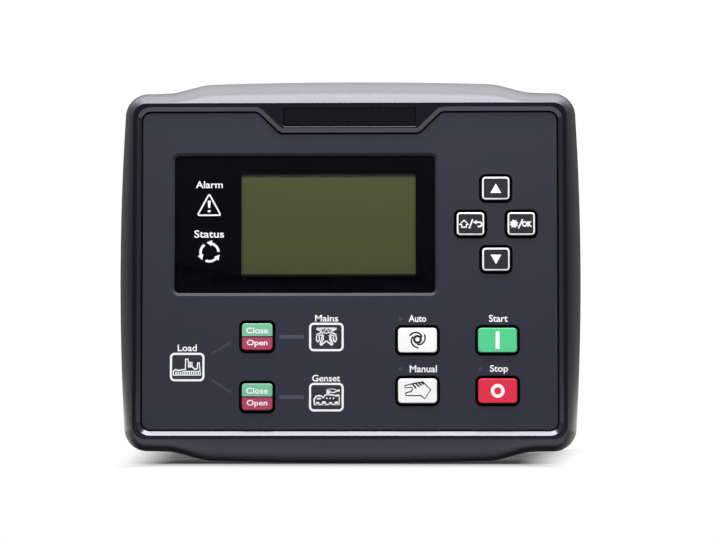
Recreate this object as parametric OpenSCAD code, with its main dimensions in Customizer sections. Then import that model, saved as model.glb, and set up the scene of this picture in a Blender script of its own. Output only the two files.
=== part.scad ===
// Panel-mounted generating-set controller: a flared bezel, a recessed fascia with ten keys
// and a display, two stacked boards and a stepped rear housing with plug-in terminals.
// Frame: X to the right and Z up as the user sees the front, Y into the panel.
// The origin is at the centre of the bezel's back face, where it meets the panel.

/* [Bezel] */
// Width across the bowed flanks
body_w = 209; // [206:0.5:216]
// Height from the lower crown to the upper crown
body_h = 173; // [169:0.5:181]
// Distance from the panel to the front lip
bezel_depth = 13; // [11:0.5:18]
// How far the flank stands out beyond the lip at mid-height
flank_flare = 6.9; // [6:0.1:9]
// How far the crown stands out beyond the lip
crown_flare = 10.8; // [9:0.1:12]
// How far the flank pulls in towards the corners
flank_bow = 2.1; // [1:0.1:4]
// Radius of the flange's outer corners
flange_r = 10.5; // [6:0.5:11]
// Rise of the crown's shoulder above the corner stretch
crown_rise = 3.4; // [2:0.1:5]
// Extra arch in the middle of the crown
crown_arch = 0.9; // [0.4:0.1:2]
// How far the corner stretch falls away from the crown towards the corner
shoulder_fall = 0.9; // [0:0.1:1.4]
// Width of the crown at the foot of its shoulders
crown_foot_w = 166; // [150:1:170]
// Width of the crown at the top of its shoulders
crown_top_w = 124; // [105:1:132]
// Height of the rounded-off edge at the back of the flange
back_edge = 1; // [0.6:0.1:1.6]
// Width of the flat front lip
lip_w = 1.7; // [1.2:0.1:2.2]
// Radius of the lip's outer corners
lip_r = 6; // [4.5:0.5:7]
// Width of the slope from the lip down to the fascia
slope_w = 1.9; // [1.6:0.1:2.8]
// How deep the fascia lies below the lip
fascia_sink = 1.8; // [1.2:0.1:2.2]

/* [Badge tab] */
// Width of the tab where it leaves the top edge of the fascia
tab_top_w = 83.4; // [76:0.2:90]
// Width of the tab at its lower edge
tab_low_w = 63.4; // [62:0.2:70]
// How far the tab reaches down into the fascia
tab_drop = 9.7; // [9.4:0.1:11]
// Width of the blank badge plate
badge_w = 59; // [50:0.5:60]
// Height of the blank badge plate
badge_h = 8; // [6.6:0.1:8.4]
// Thickness of the blank badge plate
badge_t = 0.8; // [0.6:0.1:1.2]
// How deep the badge plate lies below the lip
badge_sink = 0.6; // [0.3:0.1:1]

/* [Fascia] */
// Thickness of the fascia plate
fascia_t = 2.6; // [2.4:0.1:3.2]
// Gap between the fascia and the bezel
fascia_gap = 0.8; // [0.4:0.1:1]
// Radius of the fascia's outer corners
fascia_r = 3.5; // [2:0.5:4]
// Width of the ledge that carries the fascia at its sides
ledge_w = 7.5; // [6.8:0.1:7.8]
// Width of the ledge that carries the fascia at top and bottom
ledge_h = 5.5; // [4.8:0.1:5.8]
// Diameter of the bosses that carry the front board
boss_d = 6; // [5:0.2:6.4]

/* [Display] */
// Thickness of the display lens
lens_t = 1; // [0.8:0.1:1.2]
// How deep the lens lies below the fascia
lens_sink = 1; // [0.6:0.1:1]
// Width of the slope round the lens
lens_slope = 1.3; // [0.8:0.1:1.6]
// Corner radius of the lens
lens_r = 2.2; // [1:0.1:2.6]
// Distance from the fascia's left edge to the lens
lens_left = 14.3; // [13:0.1:16]
// Distance from the fascia's top edge to the lens
lens_top = 19.4; // [18:0.1:21]
// Distance from the lens to the nearest key of the key cross
lens_right = 9.7; // [8:0.1:12]
// Distance from the fascia's bottom edge to the lens
lens_low = 61.4; // [59:0.1:65]
// Distance from the lens's left edge to the visible screen
screen_left = 30; // [28:0.2:31]
// Distance from the lens's right edge to the visible screen
screen_right = 8.8; // [8:0.2:10]
// Distance from the lens's top edge to the visible screen
screen_top = 8.1; // [7.1:0.2:9.1]
// Distance from the lens's bottom edge to the visible screen
screen_low = 7.5; // [7.1:0.2:9.1]
// Diameter of the lamps behind the alarm and status signs
lamp_d = 7.6; // [6:0.2:8]
// Distance from the lens's left edge to the two lamps
lamp_left = 15.9; // [13.9:0.2:16.9]
// Distance between the two lamps
lamp_step = 21.2; // [16:0.2:24]
// How far the middle of the two lamps lies below the middle of the lens
lamp_low = 2.6; // [0:0.2:4]

/* [Keys] */
// Width of the arrow and menu keys
nav_w = 12.3; // [11.6:0.1:13]
// Height of the arrow and menu keys
nav_h = 10.3; // [9.6:0.1:10.8]
// Sideways step from the middle of the key cross to its side keys
nav_step_x = 11.4; // [10.8:0.1:11.6]
// Upward step from the middle of the key cross to its upper key
nav_step_z = 16; // [15.6:0.1:17]
// Distance from the fascia's right edge to the middle of the key cross
nav_right = 27.4; // [27.2:0.1:30]
// Distance from the fascia's top edge to the middle of the key cross
nav_top = 50.3; // [47:0.1:54]
// Width of the mode keys
mode_w = 17.4; // [16:0.1:18.4]
// Height of the mode keys
mode_h = 11; // [10:0.1:11.8]
// Distances of the two mode key columns from the fascia's right edge
mode_right = [62.7, 26.8]; // [20:0.1:66]
// Heights of the two mode key rows above the fascia's bottom edge
mode_up = [40, 17.3]; // [14:0.1:44]
// Width of the breaker keys
breaker_w = 13.7; // [13:0.1:15]
// Height of the breaker keys
breaker_h = 12; // [11:0.1:12.4]
// Distance from the fascia's left edge to the breaker keys
breaker_left = 51.7; // [50:0.1:53]
// Heights of the two breaker keys above the fascia's bottom edge
breaker_up = [41.6, 14.6]; // [14.4:0.1:44]
// How far a key stands out of the fascia
key_proud = 1; // [0.6:0.1:1.6]
// Radius of a key's corners
key_r = 1.5; // [0.8:0.1:2]
// Rounding of a key's front edge
key_edge = 0.4; // [0.2:0.05:0.7]
// Open moat round each key
key_moat = 1.4; // [0.8:0.1:1.6]
// Overlap of a key's flange behind the fascia
flange_lap = 0.7; // [0.4:0.1:0.8]
// Thickness of a key's flange
flange_t = 0.8; // [0.6:0.1:1.2]
// Travel of a key
key_travel = 0.9; // [0.5:0.1:1.2]
// Diameter of a key's plunger
plunger_d = 6; // [5:0.2:7]
// Thickness of the rubber mat
mat_t = 1.2; // [1:0.1:1.6]
// Wall of the mat's collar under each key
collar_t = 0.7; // [0.5:0.1:0.9]

/* [Signal lights] */
// Length of a light bar in the mimic diagram
bar_l = 11; // [9:0.2:12]
// Width of a light bar
bar_w = 1.9; // [1:0.1:2.2]
// Diameter of the lamps beside the mode keys
dot_d = 2.2; // [1.8:0.1:2.6]
// Height of a lamp above its key's middle
dot_up = 9.8; // [9.6:0.1:10.4]
// Distance of a lamp to the left of its key's middle
dot_left = 7.6; // [6:0.1:8]
// Running clearance of the light guides in the fascia
guide_gap = 0.1; // [0.05:0.05:0.2]

/* [Boards] */
// Distance from the fascia's back to the front board
board_drop = 6.2; // [5.8:0.1:7.5]
// Thickness of both boards
board_t = 1.6; // [1.2:0.1:2]
// Distance between the two boards
board_space = 6.8; // [6:0.1:8]
// Diameter of the board screws
screw_d = 2.5; // [2:0.1:3]
// Diameter of the board screws' heads
screw_head_d = 5; // [4.4:0.1:5.4]
// Height of the board screws' heads
screw_head_h = 1.8; // [1.2:0.1:2.2]
// Clearance of a screw in its hole, on the diameter
screw_play = 0.2; // [0.1:0.05:0.4]
// Diameter of the spacers between the boards
spacer_d = 6; // [5:0.2:7]
// Distance of the spacers from the rear board's sides and from its top and bottom
spacer_in = [18, 33]; // [14:0.5:36]
// Side of the square processor
chip_w = 14; // [10:0.5:18]
// Thickness of the processor
chip_t = 1.4; // [1:0.1:2]
// Length of the pin strip between the boards
link_l = 50.8; // [40:0.2:60]
// Width of the pin strip between the boards
link_w = 5; // [4:0.2:6]
// Gap of the processor and the pin strip from the middle of the front board
chip_gap = 9; // [6:0.5:12]

/* [Rear board] */
// Width, height and length of a relay
relay_size = [15.6, 19, 15.2]; // [12:0.2:20]
// Number of relays
relay_count = 5; // [3:1:5]
// Gap between relays, and from the last one to the capacitors
relay_gap = 3.4; // [2:0.1:5]
// Distance from the raised middle's side and lower wall to the relays
relay_in = [26.2, 7.5]; // [4:0.1:28]
// Diameter of a capacitor
capacitor_d = 10; // [8:0.5:12]
// Length of a capacitor
capacitor_l = 16; // [12:0.5:18]
// Width, height and length of a current sensor
sensor_size = [13, 16, 14]; // [10:0.2:18]
// Number of current sensors
sensor_count = 4; // [3:1:4]
// Gap between current sensors
sensor_gap = 5; // [3:0.1:7]
// Diameter of the hole in a current sensor
sensor_hole_d = 5; // [4:0.2:6]
// Distance from the raised middle's side and upper wall to the current sensors
sensor_in = [29.5, 11]; // [4:0.1:32]

/* [Rear housing] */
// Gap between the rear housing and the panel cut-out's side of the bezel
rear_gap = 0.3; // [0.2:0.05:0.5]
// How far the rear housing reaches into the bezel
rear_spigot = 4; // [3:0.1:4.2]
// Distance by which the rear housing's side lies inside the fascia's edge
rear_inset = 1.2; // [0.8:0.1:1.6]
// Wall of the rear housing
rear_wall = 2; // [1.6:0.1:2.4]
// Radius of the rear housing's corners
rear_r = 4; // [3:0.5:5]
// Depth behind the panel of the step that holds the terminals
step_depth = 18; // [17:0.5:21]
// Depth behind the panel of the raised middle
rear_depth = 32; // [30:0.5:36]
// Gap between the raised middle and the plugs
hump_gap = 8.2; // [7:0.1:9]
// Diameter of the columns for the case screws
column_d = 7.2; // [6.8:0.1:7.6]
// Diameter of the case screws
case_screw_d = 3; // [2.6:0.1:3.2]
// Diameter of the case screws' heads
case_head_d = 5.6; // [5:0.1:5.8]
// Length of the clip slots in the sides
clip_l = 14; // [10:0.5:18]
// Width of the clip slots
clip_w = 5; // [4:0.2:6]
// Depth of the clip slots
clip_t = 1.2; // [0.8:0.1:1.3]

/* [Terminals] */
// Distance between terminal ways
pitch = 5.08; // [5:0.02:5.2]
// Ways of the four terminal blocks
ways = [13, 10, 8, 8]; // [4:1:13]
// Distance from the rear housing's side to the lower and the upper terminal row
terminal_left = [15.7, 22]; // [12:0.1:28]
// Gap between the terminal blocks of a row
terminal_gap = 17; // [14:0.1:20]
// Distance from the rear housing's top and bottom to the terminal rows
terminal_in = 15; // [14:0.1:16]
// Width of a header's shroud
header_w = 8.6; // [8:0.1:9]
// Wall of a header's shroud
header_wall = 1; // [0.8:0.1:1.2]
// Width of a plug's body
plug_w = 11.6; // [10.6:0.1:12]
// Height of a plug's body above its header
plug_h = 12; // [11:0.1:14]
// Clearance of a plug in its header
plug_gap = 0.15; // [0.1:0.05:0.25]
// Diameter of a terminal screw
terminal_screw_d = 3.2; // [2.6:0.1:3.4]
// Depth of the screw wells in a plug
screw_well = 4; // [3:0.1:5]
// How deep a terminal screw lies in its well
screw_sink = 1.2; // [0.8:0.1:1.6]
// Width and depth of the slot in a terminal screw
screw_slot = 0.7; // [0.5:0.1:1]
// Width of a wire entry
wire_w = 3.4; // [2.8:0.1:3.6]
// Length of a wire entry
wire_l = 8.5; // [7:0.1:9]
// Gap between the last terminal block and the data socket
usb_gap = 14.4; // [10:0.1:16]
// Width of the data socket
usb_w = 12; // [11.6:0.1:12.4]
// Height of the data socket
usb_h = 10.8; // [10.4:0.1:11.2]

/* [Panel seal] */
// Width of the sealing ring
seal_w = 2.4; // [1.6:0.1:3]
// Thickness of the sealing ring
seal_t = 1.6; // [1:0.1:2]
// Distance of the sealing ring from the rear housing
seal_out = 2; // [1.5:0.1:2.6]

/* [Hidden] */
$fn = 48;

// Overshoot of a cut past the face that it opens
over = 0.5;
// Steps in a rounded corner, and along the bezel's side, corner and crown
corner_steps = 6;
side_steps = 8;
flange_corner_steps = 8;
crown_steps = 26;
flare_steps = 8;
// Shape of the bezel's flare: how far out and how far back its middle pulls
flare_out = 0.72;
flare_back = 0.3;

// Depths along Y, from the front lip to the back
lip_y = -bezel_depth;
fascia_y = lip_y + fascia_sink;
fascia_back = fascia_y + fascia_t;
lens_y = fascia_y + lens_sink;
lens_back = lens_y + lens_t;
board_y = fascia_back + board_drop;
board_back = board_y + board_t;
io_y = board_back + board_space;
io_back = io_y + board_t;
flange_back = fascia_back + flange_t;
mat_y = board_y - mat_t;
plunger_end = board_y - key_travel - 0.1;
key_top = fascia_y - key_proud;

// Outlines in X and Z
lip_half = [body_w/2 - flank_flare, body_h/2 - crown_flare];
fascia_half = lip_half - (lip_w + slope_w + fascia_gap)*[1, 1];
throat_half = fascia_half + fascia_gap*[1, 1] - [ledge_w, ledge_h];
rear_half = fascia_half - rear_inset*[1, 1];
cavity_half = rear_half - rear_wall*[1, 1];
board_half = throat_half - 0.5*[1, 1];
io_half = cavity_half - [4, 3];
shoulder_z = body_h/2 - crown_rise - crown_arch;
tab_r = [3, 3.5];

// Places on the fascia
nav_c = [fascia_half.x - nav_right, fascia_half.y - nav_top];
lens_w = nav_c.x - nav_step_x - nav_w/2 - lens_right + fascia_half.x - lens_left;
lens_h = 2*fascia_half.y - lens_top - lens_low;
lens_c = [-fascia_half.x + lens_left + lens_w/2, fascia_half.y - lens_top - lens_h/2];
screen_w = lens_w - screen_left - screen_right;
screen_h = lens_h - screen_top - screen_low;
screen_c = lens_c + [(screen_left - screen_right)/2, (screen_low - screen_top)/2];
lamp_c = [for (s = [1, -1]) lens_c + [lamp_left - lens_w/2, s*lamp_step/2 - lamp_low]];
nav_keys = [for (s = [[0, 1], [0, -1], [-1, 0], [1, 0]]) nav_c + [s.x*nav_step_x, s.y*nav_step_z]];
mode_keys = [for (r = mode_right) for (u = mode_up) [fascia_half.x - r, u - fascia_half.y]];
breaker_keys = [for (u = breaker_up) [breaker_left - fascia_half.x, u - fascia_half.y]];
dots = [for (k = [0, 1, 3]) mode_keys[k] + [-dot_left, dot_up]];
// A bar lies level on the right of each breaker key, and slopes towards the load on its left
bar_clear = 1.05;
bar_right = breaker_w/2 + key_moat + flange_lap + bar_clear + bar_l/2;
bar_left = [16.2, 5];
bar_slope = 32;
bars = [for (i = [0, 1]) let (s = i == 0 ? 1 : -1)
  each [[breaker_keys[i] + [bar_right, 0], 0], [breaker_keys[i] - [bar_left.x, s*bar_left.y], s*bar_slope]]];
key_specs = concat(
  [for (c = nav_keys) [c, nav_w, nav_h]],
  [for (c = breaker_keys) [c, breaker_w, breaker_h]],
  [for (c = mode_keys) [c, mode_w, mode_h]]);
boss_in = [5, 5];
boss_half = throat_half - boss_in;
bosses = concat(
  [for (sx = [-1, 1]) for (sz = [-1, 1]) [sx*boss_half.x, sz*boss_half.y]],
  [[mode_keys[0].x - mode_w/2 - 15.6, -boss_half.y], [nav_c.x - 20, boss_half.y - 11]]);

// Display stack
gasket_t = 0.6;
glass_t = 2;
glass_half = [screen_w/2 + 4, screen_h/2 + 5];
can_t = 0.4;
can_half = glass_half + 2*[1, 1];
mask_t = 0.1;

// Light guides and their lamps on the board
led_size = [3, 1.6, 1.1];
led_y = board_y - led_size.z;
guide_end = led_y - 0.1;

// Rear pieces
column_c = [cavity_half.x + rear_wall - column_d/2 - 0.1, throat_half.y - 3];
columns = [for (sx = [-1, 1]) for (sz = [-1, 1]) [sx*column_c.x, sz*column_c.y]];
column_seat = 4;
case_screw_grip = 3.6;
terminal_side = [-1, -1, 1, 1];
terminal_z = rear_half.y - terminal_in;
hump_h = 2*(terminal_z - plug_w/2 - hump_gap);
hump_cavity = [rear_half.x, hump_h/2] - rear_wall*[1, 1];
terminal_c = [for (i = [0:3]) let (row = i < 2 ? 0 : 1, first = 2*row) [
  -rear_half.x + terminal_left[row] + header_l(i)/2 + (i == first ? 0 : header_l(first) + terminal_gap),
  terminal_side[i]*terminal_z]];
header_top = step_depth + 1;
header_floor = io_back + 3;
plug_y = header_top + 0.2;
plug_end = plug_y + plug_h;
usb_c = [terminal_c[3].x + header_l(3)/2 + usb_gap + usb_w/2, terminal_z];
spacers = [for (sx = [-1, 1]) for (sz = [-1, 1]) [sx*(io_half.x - spacer_in.x), sz*(io_half.y - spacer_in.y)]];
relay_c = [for (i = [0:relay_count - 1]) [
  -hump_cavity.x + relay_in.x + relay_size.x/2 + i*(relay_size.x + relay_gap),
  -hump_cavity.y + relay_in.y + relay_size.y/2]];
capacitor_c = [for (i = [0, 1]) relay_c[relay_count - 1]
  + [relay_size.x/2 + relay_gap + capacitor_d/2 + i*(capacitor_d + relay_gap), 0]];
sensor_c = [for (i = [0:sensor_count - 1]) [
  -hump_cavity.x + sensor_in.x + sensor_size.x/2 + i*(sensor_size.x + sensor_gap),
  hump_cavity.y - sensor_in.y - sensor_size.y/2]];

// Colours
black = "#1c1c20";
slate = "#3b3b46";
jade = "#3aa56a";
signal_red = "#c8203c";
paper_white = "#f2f2f2";
board_green = "#1f5b3a";
steel = "#b9bcc0";
terminal_green = "#2f9a57";

function unit(v) = v/norm(v);
function turned(v, a) = [v.x*cos(a) - v.y*sin(a), v.x*sin(a) + v.y*cos(a)];
function smooth(t) = let (u = max(0, min(1, t))) u*u*(3 - 2*u);
function bent(t, pull) = 2*t*(1 - t)*pull + t*t;
function at_depth(outline, y) = [for (p = outline) [p.x, y, p.y]];

// A polygon with rounded corners, listed anticlockwise, moved outwards by grow
function rounded(corners, radii, grow = 0, n = corner_steps) = [
  for (i = [0:len(corners) - 1])
    let (
      count = len(corners),
      b = corners[i],
      u = unit(b - corners[(i + count - 1) % count]),
      v = unit(corners[(i + 1) % count] - b),
      side = u.x*v.y - u.y*v.x > 0 ? 1 : -1,
      nu = [u.y, -u.x],
      nv = [v.y, -v.x],
      bend = acos(max(-1, min(1, u*v))),
      r = max(0.05, radii[i] + side*grow),
      tip = b + (nu + nv)*grow/(1 + nu*nv),
      centre = tip - u*r*tan(bend/2) - side*nu*r
    )
    for (k = [0:n]) centre + side*r*turned(nu, side*bend*k/n)
];

function rectangle(half, r, grow = 0, centre = [0, 0]) = [
  for (p = rounded([[-half.x, -half.y], [half.x, -half.y], [half.x, half.y], [-half.x, half.y]],
                   [r, r, r, r], grow)) p + centre
];

// The fascia's outline, with the notch that takes the badge tab
function fascia_outline(grow = 0) = let (
    h = fascia_half,
    top = tab_top_w/2,
    low = tab_low_w/2,
    dip = h.y - tab_drop
  )
  rounded([[-h.x, -h.y], [h.x, -h.y], [h.x, h.y], [top, h.y], [low, dip], [-low, dip], [-top, h.y], [-h.x, h.y]],
          [fascia_r, fascia_r, fascia_r, tab_r[0], tab_r[1], tab_r[1], tab_r[0], fascia_r], grow);

// One quarter of the lip and of the flange, from the side to the middle of the top
function lip_quarter() = let (c = lip_half - lip_r*[1, 1]) concat(
  [for (i = [0:side_steps - 1]) [lip_half.x, c.y*i/side_steps]],
  [for (k = [0:flange_corner_steps]) c + lip_r*turned([1, 0], 90*k/flange_corner_steps)],
  [for (j = [1:crown_steps]) [c.x*(1 - j/crown_steps), lip_half.y]]);

function crown_z(x) = shoulder_z
  + crown_rise*smooth((crown_foot_w - 2*x)/(crown_foot_w - crown_top_w))
  + (2*x < crown_top_w ? crown_arch*(1 - pow(2*x/crown_top_w, 2)) : 0)
  - shoulder_fall*smooth((2*x - crown_top_w)/(2*flange_c().x - crown_top_w));

function flange_c() = [body_w/2 - flank_bow - flange_r, shoulder_z - shoulder_fall - flange_r];

function flange_quarter() = let (c = flange_c()) concat(
  [for (i = [0:side_steps - 1]) [body_w/2 - flank_bow*pow(i/side_steps, 2), c.y*i/side_steps]],
  [for (k = [0:flange_corner_steps]) c + flange_r*turned([1, 0], 90*k/flange_corner_steps)],
  [for (j = [1:crown_steps]) let (x = c.x*(1 - j/crown_steps)) [x, crown_z(x)]]);

function whole(q) = let (n = len(q) - 1) concat(
  q,
  [for (i = [n - 1:-1:0]) [-q[i].x, q[i].y]],
  [for (i = [1:n]) [-q[i].x, -q[i].y]],
  [for (i = [n - 1:-1:1]) [q[i].x, -q[i].y]]);

function middle(ring) = let (ones = [for (p = ring) 1]) ones*ring/len(ring);

// A solid through a list of rings, each an anticlockwise outline at its own depth, front to back
module loft(rings) {
  n = len(rings[0]);
  last = len(rings) - 1;
  hub = n*len(rings);
  polyhedron(
    points = concat([for (r = rings) each r], [middle(rings[0]), middle(rings[last])]),
    faces = [for (i = [0:n - 1]) let (j = (i + 1) % n) each concat(
      [[hub, j, i], [hub + 1, last*n + i, last*n + j]],
      [for (k = [0:last - 1]) each
        [[k*n + i, k*n + j, (k + 1)*n + j], [k*n + i, (k + 1)*n + j, (k + 1)*n + i]]])]);
}

// A straight plate of an outline between two depths
module plate(outline, y0, y1) {
  translate([0, y1, 0]) rotate([90, 0, 0]) linear_extrude(y1 - y0) polygon(outline);
}

// A round bar along Y at a place on the front
module rod(d, y0, y1, c) {
  translate([c.x, y1, c.y]) rotate([90, 0, 0]) cylinder(d = d, h = y1 - y0);
}

// A block centred on a place on the front
module block(size, y0, y1, c) {
  translate([c.x - size.x/2, y0, c.y - size.y/2]) cube([size.x, y1 - y0, size.y]);
}

module bezel_body() {
  lip = whole(lip_quarter());
  flange = whole(flange_quarter());
  depth = bezel_depth - back_edge;
  loft(concat(
    [for (k = [0:flare_steps]) let (t = k/flare_steps)
      at_depth([for (i = [0:len(lip) - 1]) lip[i] + (flange[i] - lip[i])*bent(t, flare_out)],
               lip_y + depth*bent(t, flare_back))],
    [at_depth([for (p = flange) p - back_edge/2*unit(p)], 0)]));
}

// The slope and pocket of a recess: opening at y0, floor at y1
module recess(outer, inner, y0, slope_end, y1) {
  loft([at_depth(outer, y0), at_depth(inner, slope_end)]);
  plate(inner, slope_end - 0.01, y1);
}

module badge_pocket() {
  half = [badge_w/2, badge_h/2] + 0.15*[1, 1];
  recess(rectangle(half, 0.6, badge_sink, badge_c()), rectangle(half, 0.6, 0, badge_c()),
         lip_y - 0.01, lip_y + badge_sink, lip_y + badge_sink + badge_t);
}

function badge_c() = [0, lip_half.y - lip_w - badge_h/2 - badge_sink];

module bezel() {
  color(black) difference() {
    bezel_body();
    recess(fascia_outline(fascia_gap + slope_w), fascia_outline(fascia_gap),
           lip_y - 0.01, fascia_y, fascia_back);
    badge_pocket();
    plate(rectangle(throat_half, fascia_r), fascia_back - 0.01, over);
    plate(rectangle(rear_half, rear_r, rear_gap), -rear_spigot, over);
    difference() {
      plate(rectangle(rear_half, rear_r, seal_out + seal_w), -seal_t, over);
      plate(rectangle(rear_half, rear_r, seal_out), -seal_t - over, 2*over);
    }
    for (c = columns) rod(case_screw_d + screw_play, -rear_spigot - case_screw_grip - 0.3, 0, c);
  }
}

module badge_plate() {
  color(black) plate(rectangle([badge_w/2, badge_h/2], 0.6, 0, badge_c()), lip_y + badge_sink,
                     lip_y + badge_sink + badge_t);
}

module panel_seal() {
  color("#26262a") difference() {
    plate(rectangle(rear_half, rear_r, seal_out + seal_w), -seal_t, 0);
    plate(rectangle(rear_half, rear_r, seal_out), -seal_t - over, over);
  }
}

module fascia() {
  lens_half = [lens_w/2, lens_h/2] + 0.1*[1, 1];
  color(slate) difference() {
    union() {
      plate(fascia_outline(), fascia_y, fascia_back);
      for (b = bosses) rod(boss_d, fascia_back - 0.01, board_y, b);
    }
    recess(rectangle(lens_half, lens_r, lens_slope, lens_c), rectangle(lens_half, lens_r, 0, lens_c),
           fascia_y - 0.01, lens_y, lens_back + mask_t);
    plate(rectangle([screen_w/2 + 1, screen_h/2 + 1], 1, 0, screen_c), lens_back, fascia_back + over);
    for (c = lamp_c) rod(lamp_d + 2*guide_gap, lens_back, fascia_back + over, c);
    for (k = key_specs)
      plate(rectangle([k[1]/2, k[2]/2], key_r, key_moat, k[0]), fascia_y - over, fascia_back + over);
    for (c = dots) rod(dot_d + 2*guide_gap, fascia_y - over, fascia_back + over, c);
    for (b = bars) light_bar(b, guide_gap, fascia_y - over, fascia_back + over);
    for (b = bosses) rod(screw_d + screw_play, fascia_back + 0.6, board_y + over, b);
  }
}

module display_lens() {
  color("#101014") plate(rectangle([lens_w/2, lens_h/2], lens_r, 0, lens_c), lens_y, lens_back);
}

// The opaque film behind the lens, open over the screen and the two lamps
module screen_mask() {
  color("black") difference() {
    plate(rectangle([lens_w/2, lens_h/2], lens_r, 0, lens_c), lens_back, lens_back + mask_t);
    plate(rectangle([screen_w/2, screen_h/2], 0.4, 0, screen_c), lens_back - over, lens_back + over);
    for (c = lamp_c) rod(lamp_d, lens_back - over, lens_back + over, c);
  }
}

module display_gasket() {
  color("#202022") difference() {
    plate(rectangle([screen_w/2 + 3, screen_h/2 + 3], 1, 0, screen_c), fascia_back, fascia_back + gasket_t);
    plate(rectangle([screen_w/2 + 1, screen_h/2 + 1], 1, 0, screen_c), fascia_back - over, board_y);
  }
}

module lcd_glass() {
  color("#5a6040") plate(rectangle(glass_half, 0.5, 0, screen_c), fascia_back + gasket_t,
                         fascia_back + gasket_t + glass_t);
}

module lcd_backlight() {
  color(paper_white) plate(rectangle(glass_half, 0.5, -1, screen_c), fascia_back + gasket_t + glass_t, board_y);
}

// The bent metal frame that holds the glass and the backlight on the board
module lcd_frame() {
  front = fascia_back + gasket_t;
  color(steel) difference() {
    plate(rectangle(can_half, 0.8, 0, screen_c), front - can_t, board_y);
    plate(rectangle(can_half, 0.6, -can_t, screen_c), front, board_y + over);
    plate(rectangle(glass_half, 0.5, -0.8, screen_c), front - can_t - over, board_y);
  }
}

// One flat light bar: place, tilt, extra size all round and its depths
module light_bar(b, grow, y0, y1) {
  translate([b[0].x, 0, b[0].y]) rotate([0, -b[1], 0])
    block([bar_l + 2*grow, bar_w + 2*grow], y0, y1, [0, 0]);
}

module mimic_light_bars() {
  color("#55556a") for (b = bars) light_bar(b, 0, fascia_y + 0.05, guide_end);
}

module lamp_light_guides() {
  color("#4c4c5e") {
    for (c = dots) rod(dot_d, fascia_y + 0.05, guide_end, c);
    for (c = lamp_c) rod(lamp_d, lens_back + mask_t, guide_end, c);
  }
}

// A key: the cap in front, the flange behind the fascia and the plunger over the board's contact
module key(index, cap_colour, low_colour) {
  c = key_specs[index][0];
  half = [key_specs[index][1], key_specs[index][2]]/2;
  color(cap_colour) difference() {
    key_cap(half, c);
    if (low_colour != cap_colour) lower_half(half, c);
  }
  if (low_colour != cap_colour) color(low_colour) intersection() {
    key_cap(half, c);
    lower_half(half, c);
  }
  color(black) {
    plate(rectangle(half, key_r, key_moat + flange_lap, c), fascia_back, flange_back);
    rod(plunger_d, flange_back - 0.01, plunger_end, c);
  }
}

module key_cap(half, c) {
  loft(concat(
    [for (a = [90, 60, 30, 0])
      at_depth(rectangle(half, key_r, key_edge*(cos(a) - 1), c), key_top + key_edge*(1 - sin(a)))],
    [at_depth(rectangle(half, key_r, 0, c), fascia_back + 0.01)]));
}

module lower_half(half, c) {
  block([2*half.x + 2*over, half.y + over], key_top - over, fascia_back + over, c - [0, (half.y + over)/2]);
}

// The rubber mat on the front board, with a collar that carries each key
module key_mat() {
  edge = board_half - 0.3*[1, 1];
  right_x = screen_c.x + can_half.x + 1.2;
  low_z = screen_c.y - can_half.y - 1.2;
  top_z = nav_c.y + nav_step_z + nav_h/2 + 5;
  color("#2a2a2e") difference() {
    union() {
      plate([[-edge.x, -edge.y], [edge.x, -edge.y], [edge.x, top_z], [right_x, top_z], [right_x, low_z],
             [-edge.x, low_z]], mat_y, board_y);
      for (k = key_specs)
        plate(rectangle([k[1]/2, k[2]/2], key_r, key_moat + flange_lap - 0.1, k[0]), flange_back, board_y);
    }
    for (k = key_specs) {
      plate(rectangle([k[1]/2, k[2]/2], key_r, key_moat + flange_lap - 0.1 - collar_t, k[0]),
            flange_back - over, mat_y);
      rod(plunger_d + 2, mat_y - over, board_y + over, k[0]);
    }
    for (b = bosses) rod(boss_d + 1, mat_y - over, board_y + over, b);
    for (c = dots) block([led_size.x + 1.4, led_size.y + 1.6], mat_y - over, board_y + over, c);
    for (b = bars) light_bar(b, 0.7, mat_y - over, board_y + over);
    for (c = columns) rod(column_d + 2, mat_y - over, board_y + over, c);
  }
}

module front_board() {
  color(board_green) difference() {
    plate(rectangle(board_half, 1.5), board_y, board_back);
    for (b = bosses) rod(screw_d + screw_play, board_y - over, board_back + over, b);
    for (c = columns) rod(column_d + 1, board_y - over, board_back + over, c);
  }
}

module board_leds() {
  color(paper_white) {
    for (c = concat(dots, lamp_c)) block(led_size, led_y, board_y, c);
    for (b = bars) translate([b[0].x, 0, b[0].y]) rotate([0, -b[1], 0]) block(led_size, led_y, board_y, [0, 0]);
  }
}

module processor() {
  color("#222226") block([chip_w, chip_w], board_back, board_back + chip_t, [0, -chip_gap - chip_w/2]);
}

// The pin strip that joins the two boards
module board_link() {
  color("#222226") block([link_l, link_w], board_back, io_y, [0, chip_gap + link_w/2]);
}

module board_spacers() {
  color(steel) for (c = spacers) difference() {
    rod(spacer_d, board_back, io_y, c);
    rod(screw_d + screw_play, board_back + 1, io_y + over, c);
  }
}

// A round-headed screw along Y: head at y0 to the back, shank towards the front
module screw(d, head_d, head_h, grip, y0, c) {
  rod(d, y0 - grip, y0 + 0.01, c);
  rod(head_d, y0, y0 + head_h, c);
}

module board_screws() {
  color(steel) {
    for (b = bosses) screw(screw_d, screw_head_d, screw_head_h, board_t + board_drop - 1, board_back, b);
    for (c = spacers) screw(screw_d, screw_head_d, screw_head_h, board_t + board_space - 1.5, io_back, c);
  }
}

module io_board() {
  color(board_green) difference() {
    plate(rectangle(io_half, 1.5), io_y, io_back);
    for (c = spacers) rod(screw_d + screw_play, io_y - over, io_back + over, c);
    for (c = columns) rod(column_d + 1, io_y - over, io_back + over, c);
  }
}

module relays() {
  color("#26303c") for (c = relay_c) block(relay_size, io_back, io_back + relay_size.z, c);
}

module capacitors() {
  color("#24242c") for (c = capacitor_c) rod(capacitor_d, io_back, io_back + capacitor_l, c);
}

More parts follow.
